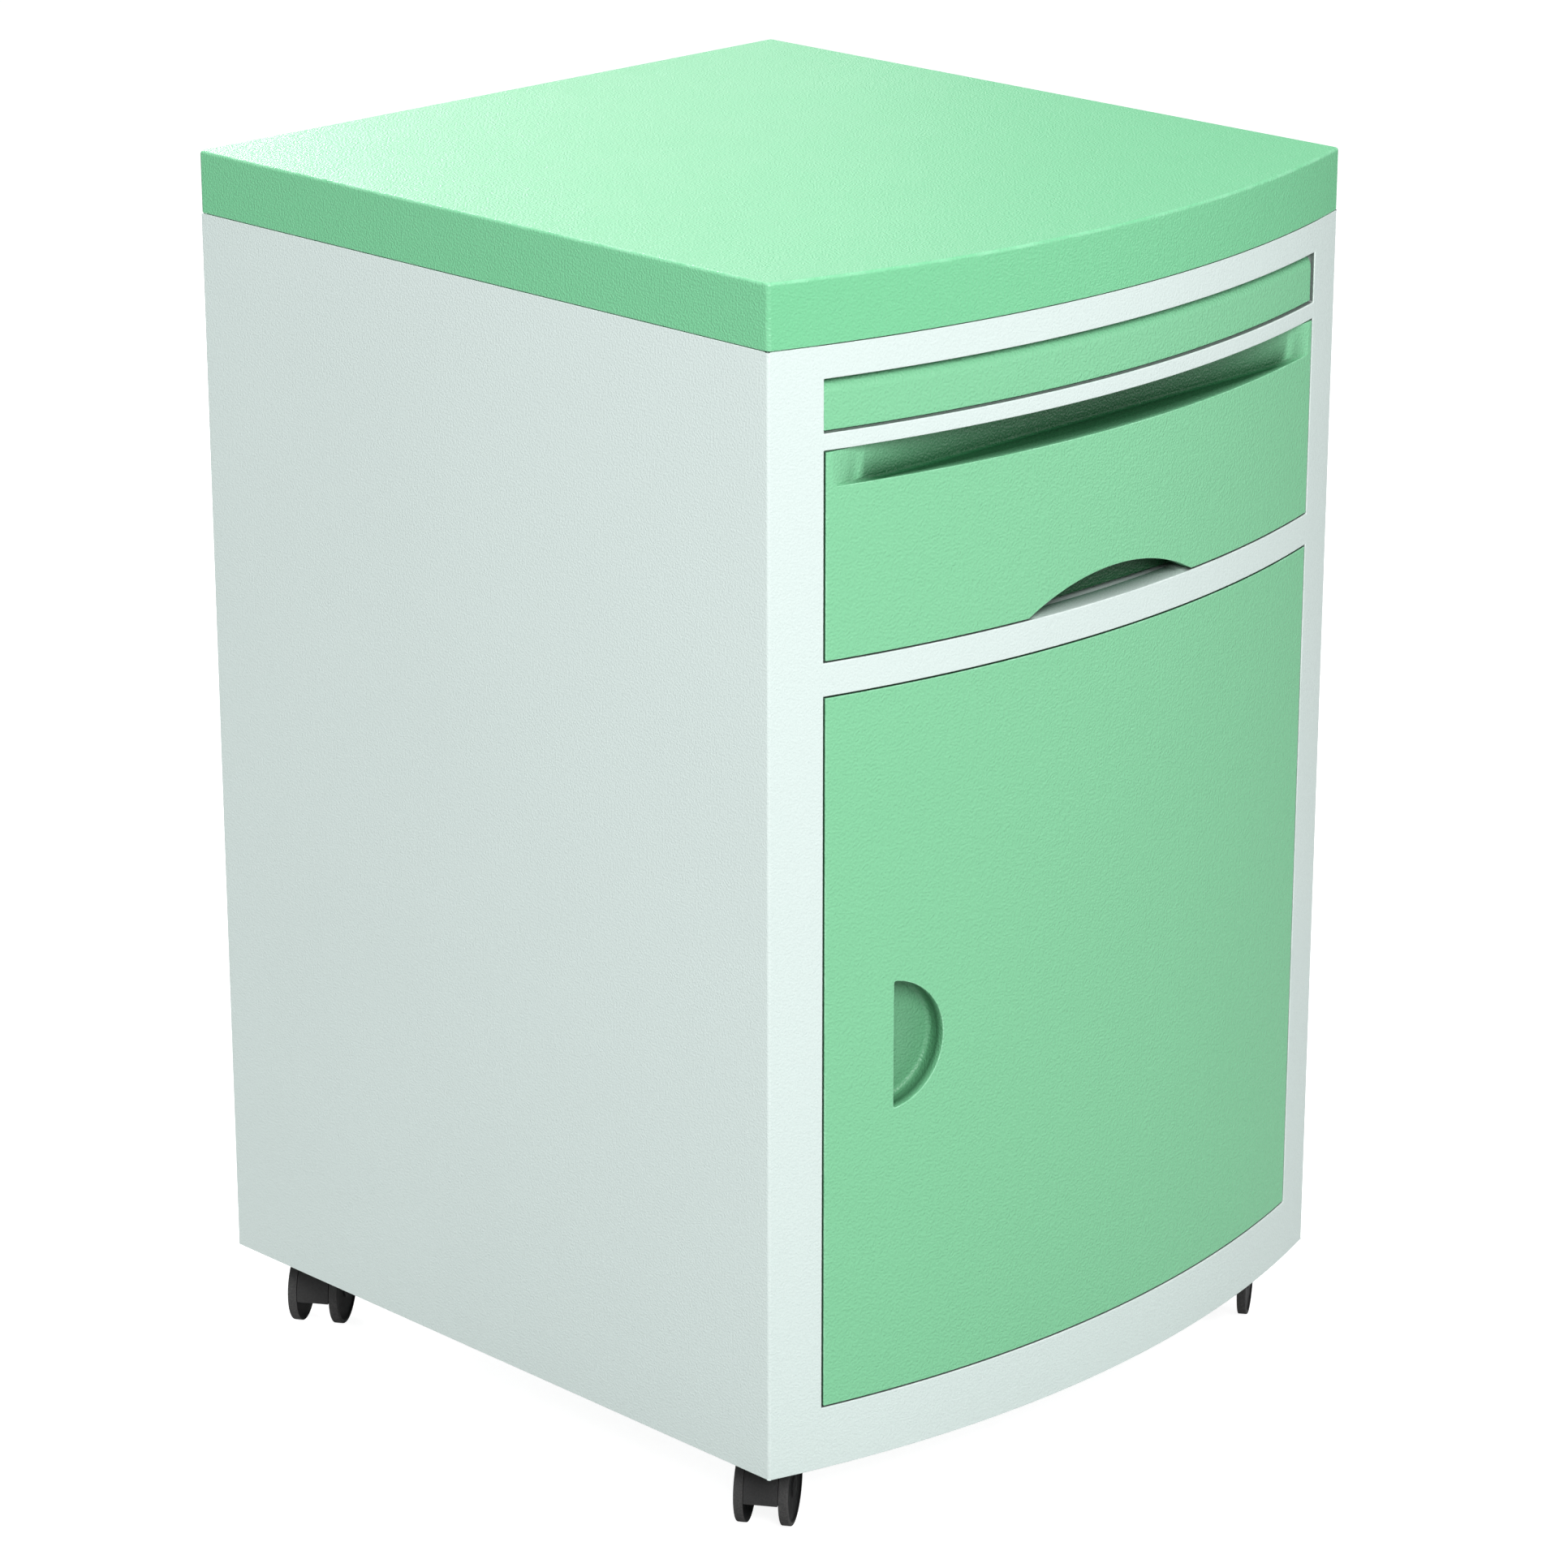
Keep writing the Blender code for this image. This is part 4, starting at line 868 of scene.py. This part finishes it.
def make_door():
    low, high = DOOR_LOW.z, DOOR_HIGH.z
    outline = bow_band(FRONT_HALF, 0.0, DOOR_DEPTH)
    pocket, depth = 0.0061, 0.0151
    pockets = [moved(disc(pocket, z0, z1, 48), HINGE)
               for z0, z1 in ((low - PAST, low + depth), (high - depth, high + PAST))]
    bm = carved(prism(outline, low, high), cuts=(*cup_tools(), *pockets))
    middle = Vector((CUP_EDGE - CUP_WIDTH / 2, CUP_Z))

    # painted shade in the handle cup: full a few millimetres in, easing off towards the cup's floor
    def hold_shade(point):
        behind = point.y - bow_y(point.x)
        near = (Vector((-point.x, point.z)) - middle).length < 0.045
        if not near or behind > CUP_DEPTH + 0.001:
            return 0
        return 1.18 * min((behind - 0.0006) / 0.005, 1) - 0.78 * behind / CUP_DEPTH

    piece("door_shell_moulding", eased(bm, 0.0006), MINT, "door", "door_shell",
          recess=hold_shade, seam=on_rim(DOOR_LOW.z, DOOR_HIGH.z))

    liner_half, front, thick = LINER_HIGH.x, DOOR_DEPTH + JOIN, 0.0025
    border, step = 0.022, 0.0012
    liner = prism(bow_band(liner_half, front, front + thick), LINER_LOW.z, LINER_HIGH.z)
    field = prism(bow_band(liner_half - border, front + thick - step, front + thick + PAST),
                  LINER_LOW.z + border, LINER_HIGH.z - border)
    piece("door_liner_moulding", eased(carved(liner, cuts=(field,)), 0.0005), PALE_INNER, "door",
          "door_liner")


# ---- casters ------------------------------------------------------------------------
WHEEL_RADIUS, CASTER_HALF, TREAD = 0.0235, 0.0163, 0.0058
STEM_RADIUS, AXLE_RADIUS, TURNING = 0.004, 0.002, 0.0003
HOOD_CUT = 0.0205


def wheel_place(corner):
    """A caster's middle, its axle's way, and the turn that lays a piece made upright on it."""
    wheel = JOINTS[f"caster_{corner}_wheel_a_spin"]
    axis = Vector(wheel["axis"])
    turn = Matrix.Rotation(atan2(-axis.x, axis.y), 4, "Z")
    return Vector(wheel["pos_m"]), axis, turn


def make_caster(corner):
    swivel = JOINTS[f"caster_{corner}_swivel"]["pos_m"]
    centre, axis, turn = wheel_place(corner)
    lay = at(*centre) @ turn @ LAY_ON_Y
    level = at(*swivel[:2], 0) @ turn
    hood_half = CASTER_HALF - TREAD - JOIN
    stem_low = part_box(f"caster_stem_{corner}")[0].z
    collar_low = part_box(f"caster_block_{corner}")[0].z - 2 * JOIN - 0.002
    ease = 0.0003
    sides = [(0, -hood_half)]
    sides += [(WHEEL_RADIUS - i, -hood_half + d) for i, d in reversed(quarter(ease))]
    hood = moved(turned(mirrored(sides)), lay)
    neck = moved(disc(hood_half - 0.0012, WHEEL_RADIUS, collar_low - JOIN), at(*swivel[:2], 0))
    below = moved(block(-0.05, 0.05, -0.02, 0.02, -PAST, HOOD_CUT), level)
    bore = moved(disc(AXLE_RADIUS + TURNING, -CASTER_HALF, CASTER_HALF, 32), lay)
    socket = moved(disc(STEM_RADIUS + TURNING, stem_low - JOIN, 0.06, 32), at(*swivel[:2], 0))
    bm = carved(hood, cuts=(below, bore, socket), joins=(neck,))
    piece(f"caster_hood_moulding_{corner}", eased(bm, 0.0004), HOOD, f"caster_{corner}",
          f"caster_hood_{corner}")
    for side, sign in (("a", -1), ("b", 1)):
        out = lay @ at(0, 0, sign * (CASTER_HALF - TREAD))
        if sign < 0:
            out = out @ Matrix.Rotation(pi, 4, "X")
        bore_r, rim, dish = AXLE_RADIUS + TURNING, WHEEL_RADIUS, 0.0009
        inner, outer = 0.0003, 0.0008
        profile = [(bore_r, 0)] + [(rim - i, d) for i, d in reversed(quarter(inner))]
        profile += [(rim - i, TREAD - d) for i, d in quarter(outer)]
        profile += [(rim - 0.0022, TREAD), (rim - 0.0030, TREAD - dish), (0.0075, TREAD - dish),
                    (0.0068, TREAD - 0.0004), (0.0060, TREAD), (0, TREAD),
                    (0, TREAD - 0.0010), (bore_r, TREAD - 0.0010)]
        obj = piece(f"caster_wheel_moulding_{corner}_{side}", moved(turned(profile), out), BLACK,
                    f"caster_{corner}_wheel_{side}", f"caster_wheel_{corner}_{side}")
        # tread faces take the lighter copy of the black: painted light
        obj.data.materials.append(TREAD_LIT)
        for face in obj.data.polygons:
            offset = face.center - centre
            away = (offset - axis * offset.dot(axis)).length
            face.material_index = 1 if away > rim - 0.0018 else 0


# ---- plainer pieces, from the part's own shapes -------------------------------------
def soften(node, finish, body, width):
    """The CAD solid with its edges eased."""
    bm = bmesh.new()
    bm.from_mesh(frame["nodes"][node].data)
    for layer in list(bm.loops.layers.uv):
        bm.loops.layers.uv.remove(layer)
    bmesh.ops.remove_doubles(bm, verts=bm.verts, dist=2e-6)
    bmesh.ops.dissolve_limit(bm, angle_limit=radians(0.3), verts=bm.verts, edges=bm.edges)
    eased(bm, width, segments=2)
    for face in bm.faces:
        face.material_index = 0
    piece(f"{node}_eased", bm, finish, body, node)


def soften_all():
    for node in ("top_liner", "base_panel", "drawer_deck", "tray_deck", "cupboard_shelf"):
        soften(node, PALE_INNER, "cabinet", 0.0008)
    for node in ("tray_guide_left", "tray_guide_right", "catch_housing"):
        soften(node, NYLON, "cabinet", 0.0004)
    for corner in CORNERS:
        soften(f"caster_block_{corner}", NYLON, "cabinet", 0.0008)
    soften("catch_magnet", FERRITE, "cabinet", 0.0004)
    for side in ("left", "right"):
        soften(f"drawer_rail_{side}", ZINC, "cabinet", 0.0002)
        soften(f"drawer_runner_{side}", ZINC, "drawer", 0.0002)
    soften("strike_plate", ZINC, "door", 0.0002)


def make_round_pieces():
    """Pins, bushes, stems, axles and rollers, turned with eased ends."""
    for level in ("lower", "upper"):
        (_, _, z0), (_, _, z1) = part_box(f"{level}_hinge_pin")
        pin = moved(turned([(0, z0), (0.0024, z0), (0.003, z0 + 0.0006), (0.003, z1 - 0.0006),
                            (0.0024, z1), (0, z1)]), HINGE)
        piece(f"{level}_hinge_pin_turned", pin, ZINC, "cabinet", f"{level}_hinge_pin")
        (_, _, z0), (_, _, z1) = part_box(f"{level}_hinge_bush")
        bush = turned([(0.0033, z0 + 0.0004), (0.0037, z0), (0.0054, z0), (0.0058, z0 + 0.0004),
                       (0.0058, z1 - 0.0004), (0.0054, z1), (0.0037, z1), (0.0033, z1 - 0.0004)])
        piece(f"{level}_hinge_bush_turned", moved(bush, HINGE), NYLON, "door",
              f"{level}_hinge_bush")
    for kind in ("rail", "runner"):
        for side in ("left", "right"):
            name = f"{kind}_roller_{side}"
            half, ease, rim, hub = 0.003, 0.0006, 0.0065, 0.0040
            profile = mirrored([(0.0023, -half), (hub, -half), (hub + 0.0004, -half + ease),
                                (rim - 0.0012, -half + ease), (rim - 0.0008, -half),
                                (rim - ease, -half), (rim, -half + ease)])
            roller = moved(turned(profile, 48), at(*JOINTS[f"{name}_spin"]["pos_m"]) @ LAY_ON_X)
            piece(f"{name}_turned", roller, NYLON, name, name)
    for corner in CORNERS:
        (x0, y0, z0), (x1, y1, z1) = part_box(f"caster_stem_{corner}")
        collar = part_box(f"caster_block_{corner}")[0].z - JOIN
        e = 0.0005
        stem = turned([(0, z0), (STEM_RADIUS - e, z0), (STEM_RADIUS, z0 + e),
                       (STEM_RADIUS, collar - 0.002), (0.0066, collar - 0.002),
                       (0.007, collar - 0.0016), (0.007, collar - 0.0004), (0.0066, collar),
                       (STEM_RADIUS, collar), (STEM_RADIUS, z1 - e), (STEM_RADIUS - e, z1), (0, z1)])
        middle = at((x0 + x1) / 2, (y0 + y1) / 2, 0)
        piece(f"caster_stem_turned_{corner}", moved(stem, middle), ZINC, "cabinet",
              f"caster_stem_{corner}")
        centre, _, turn = wheel_place(corner)
        lay = at(*centre) @ turn @ LAY_ON_Y
        reach = CASTER_HALF - 0.0015
        axle = turned(mirrored([(0, -reach), (AXLE_RADIUS - e, -reach), (AXLE_RADIUS, e - reach)]), 32)
        piece(f"caster_axle_turned_{corner}", moved(axle, lay), ZINC, f"caster_{corner}",
              f"caster_axle_{corner}")


# ---- screws -------------------------------------------------------------------------
def screw_head():
    """A pan head of 1 m radius with a cross recess, flat side down."""
    rise = [(cos(a), 0.62 * sin(a) ** 0.8) for a in sweep(0.12, pi / 2, 7)]
    profile = [(0, -0.04), (1.0, -0.04)] + rise[:-1] + [(0, 0.62)]
    slots = [block(-0.5, 0.5, -0.095, 0.095, 0.25, 1.0), block(-0.095, 0.095, -0.5, 0.5, 0.25, 1.0)]
    return carved(turned(profile, 28), cuts=slots)


def screw_tree():
    """Sets a screw on every given place, square to its surface and turned at random."""
    tree = bpy.data.node_groups.new("screws_on_places", "GeometryNodeTree")
    for label, kind in (("Places", "NodeSocketGeometry"), ("Screw", "NodeSocketObject"),
                        ("Head radius", FLOAT), ("Seed", "NodeSocketInt"),
                        ("Finish", "NodeSocketMaterial")):
        tree.interface.new_socket(label, in_out="INPUT", socket_type=kind)
    tree.interface.new_socket("Screws", in_out="OUTPUT", socket_type="NodeSocketGeometry")
    bench = Bench(tree)
    add = bench.add
    source = add("NodeGroupInput").outputs
    way = add("GeometryNodeInputNamedAttribute", {"Name": "way"}, data_type="FLOAT_VECTOR")
    stand = add("FunctionNodeAlignRotationToVector", {"Vector": way.outputs["Attribute"]},
                axis="Z")
    spin = add("FunctionNodeRandomValue", data_type="FLOAT")
    for socket in spin.inputs:
        if socket.type == "VALUE" and socket.name == "Max":
            socket.default_value = pi
    bench.feed(spin.inputs["Seed"], source["Seed"])
    angle = add("FunctionNodeAxisAngleToRotation", {"Axis": (0, 0, 1)})
    bench.feed(angle.inputs["Angle"], [s for s in spin.outputs if s.type == "VALUE"][0])
    turn = add("FunctionNodeRotateRotation", {"Rotation": stand.outputs["Rotation"],
               "Rotate By": angle.outputs["Rotation"]}, rotation_space="LOCAL")
    shape = add("GeometryNodeObjectInfo", {"Object": source["Screw"]})
    scale = add("ShaderNodeCombineXYZ", {axis: source["Head radius"] for axis in "XYZ"})
    put = add("GeometryNodeInstanceOnPoints", {"Points": source["Places"],
              "Instance": shape.outputs["Geometry"], "Rotation": turn.outputs["Rotation"],
              "Scale": scale.outputs["Vector"]})
    real = add("GeometryNodeRealizeInstances", {"Geometry": put.outputs["Instances"]})
    coat = add("GeometryNodeSetMaterial", {"Geometry": real.outputs["Geometry"],
               "Material": source["Finish"]})
    add("NodeGroupOutput", {"Screws": coat.outputs["Geometry"]})
    return tree


def set_screws(name, body, places, radius, seed):
    """One body's screws as a plain mesh; places are (point, outward way) pairs."""
    mesh = bpy.data.meshes.new(name)
    mesh.from_pydata([point for point, _ in places], [], [])
    ways = mesh.attributes.new("way", "FLOAT_VECTOR", "POINT")
    for entry, (_, way) in zip(ways.data, places):
        entry.vector = way
    obj = new_object(name, mesh)
    modifier = obj.modifiers.new("screws", "NODES")
    modifier.node_group = SCREW_TREE
    values = {"Screw": SCREW, "Head radius": radius, "Seed": seed, "Finish": ZINC}
    for item in SCREW_TREE.interface.items_tree:
        if item.in_out == "INPUT" and item.name in values:
            modifier[item.identifier] = values[item.name]
    bm = bmesh.new()
    bm.from_mesh(settled_mesh(obj))
    piece(name, bm, ZINC, body)


def make_screws():
    back, flange_x = BACK_HIGH.y, HALF - SKIN - 0.009
    rows = sweep(BACK_LOW.z + 0.030, BACK_HIGH.z - 0.030, 5)
    places = [((sign * flange_x, back, z), (0, 1, 0)) for sign in (-1, 1) for z in rows]
    for node in ("drawer_rail_left", "drawer_rail_right"):
        low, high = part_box(node)
        outer = max(abs(low.x), abs(high.x)) - 0.007
        x = outer if high.x > 0 else -outer
        places += [((x, y, low.z + 0.0012), (0, 0, 1)) for y in sweep(low.y + 0.03, high.y - 0.03, 2)]
    set_screws("cabinet_screws", "cabinet", places, 0.0032, 3)
    inset = DOOR_DEPTH + JOIN + 0.0025
    door = []
    for x in (-0.194, 0.0, 0.194):
        lean = asin(x / (BOW_RADIUS - inset))
        for z in (LINER_LOW.z + 0.011, LINER_HIGH.z - 0.011):
            door.append(((x, bow_y(x, inset), z), (-sin(lean), cos(lean), 0)))
    set_screws("door_screws", "door", door, 0.0028, 5)
    y = BOX_LOW.y + 0.003
    drawer = [((x, y, z), (0, 1, 0)) for x in (-0.12, 0.12)
              for z in (BOX_LOW.z + 0.03, BOX_HIGH.z - 0.025)]
    set_screws("drawer_screws", "drawer", drawer, 0.0032, 7)


# ---- studio -------------------------------------------------------------------------
SKY_STRENGTH = 0.25
FLOOR_REACH = 60.0
LIGHT_TARGET = Vector((0, 0, 0.45))
SOFT_BOXES = {                                  # azimuth, elevation, distance, size, power
    "key": (-125, 33, 3.6, 1.6, 128),
    "right": (-50, 8, 3.2, 1.5, 18),
    "left": (160, 12, 3.2, 1.6, 19),
    "back": (72, 16, 3.0, 1.4, 56),
    "wide": (62, 20, 3.0, 2.2, 20),
    "top": (60, 82, 2.6, 1.6, 38),
}


def make_floor():
    mesh = bpy.data.meshes.new("studio_floor")
    corners = [(x * FLOOR_REACH, y * FLOOR_REACH, 0) for x, y in ((-1, -1), (1, -1), (1, 1), (-1, 1))]
    mesh.from_pydata(corners, [], [(0, 1, 2, 3)])
    mesh.materials.append(studio_floor())
    new_object("studio_floor", mesh)


def soft_light(name, azimuth, elevation, distance, size, power):
    """A square soft box that faces the cabinet; azimuth is counted from +X."""
    a, e = radians(azimuth), radians(elevation)
    way = Vector((cos(a) * cos(e), sin(a) * cos(e), sin(e)))
    light = bpy.data.lights.new(name, "AREA")
    light.shape, light.size, light.energy = "SQUARE", size, power
    obj = new_object(name, light)
    obj.location = LIGHT_TARGET + way * distance
    obj.rotation_euler = way.to_track_quat("Z", "Y").to_euler()
    obj.visible_camera = False


def make_studio():
    make_floor()
    world = bpy.data.worlds.new("studio")
    world.use_nodes = True
    sky = world.node_tree.nodes["Background"]
    sky.inputs["Color"].default_value = (1.0, 1.0, 1.0, 1.0)
    sky.inputs["Strength"].default_value = SKY_STRENGTH
    SCENE.world = world
    for name, numbers in SOFT_BOXES.items():
        soft_light(f"{name}_soft_box", *numbers)
    SCENE.view_settings.view_transform = "Standard"


def make_camera():
    data = bpy.data.cameras.new("camera")
    data.lens, data.sensor_width = 121.10, 36.0
    data.clip_start, data.clip_end = 0.05, 200.0
    camera = new_object("camera", data)
    camera.location = (-2.17864, -2.14327, 1.41985)
    camera.rotation_euler = (radians(70.939), 0.0, radians(-45.358))
    SCENE.camera = camera


CORNERS = ("front_left", "front_right", "back_left", "back_right")
make_camera()
make_studio()
make_top()
make_frame()
make_sides()
make_back()
make_tray()
make_drawer_front()
make_drawer_box()
make_door()
for caster_corner in CORNERS:
    make_caster(caster_corner)
soften_all()
make_round_pieces()
SCREW = new_object("screw_pattern", from_bmesh("screw_pattern", screw_head()))
SCREW_TREE = screw_tree()
make_screws()
bpy.data.objects.remove(SCREW)
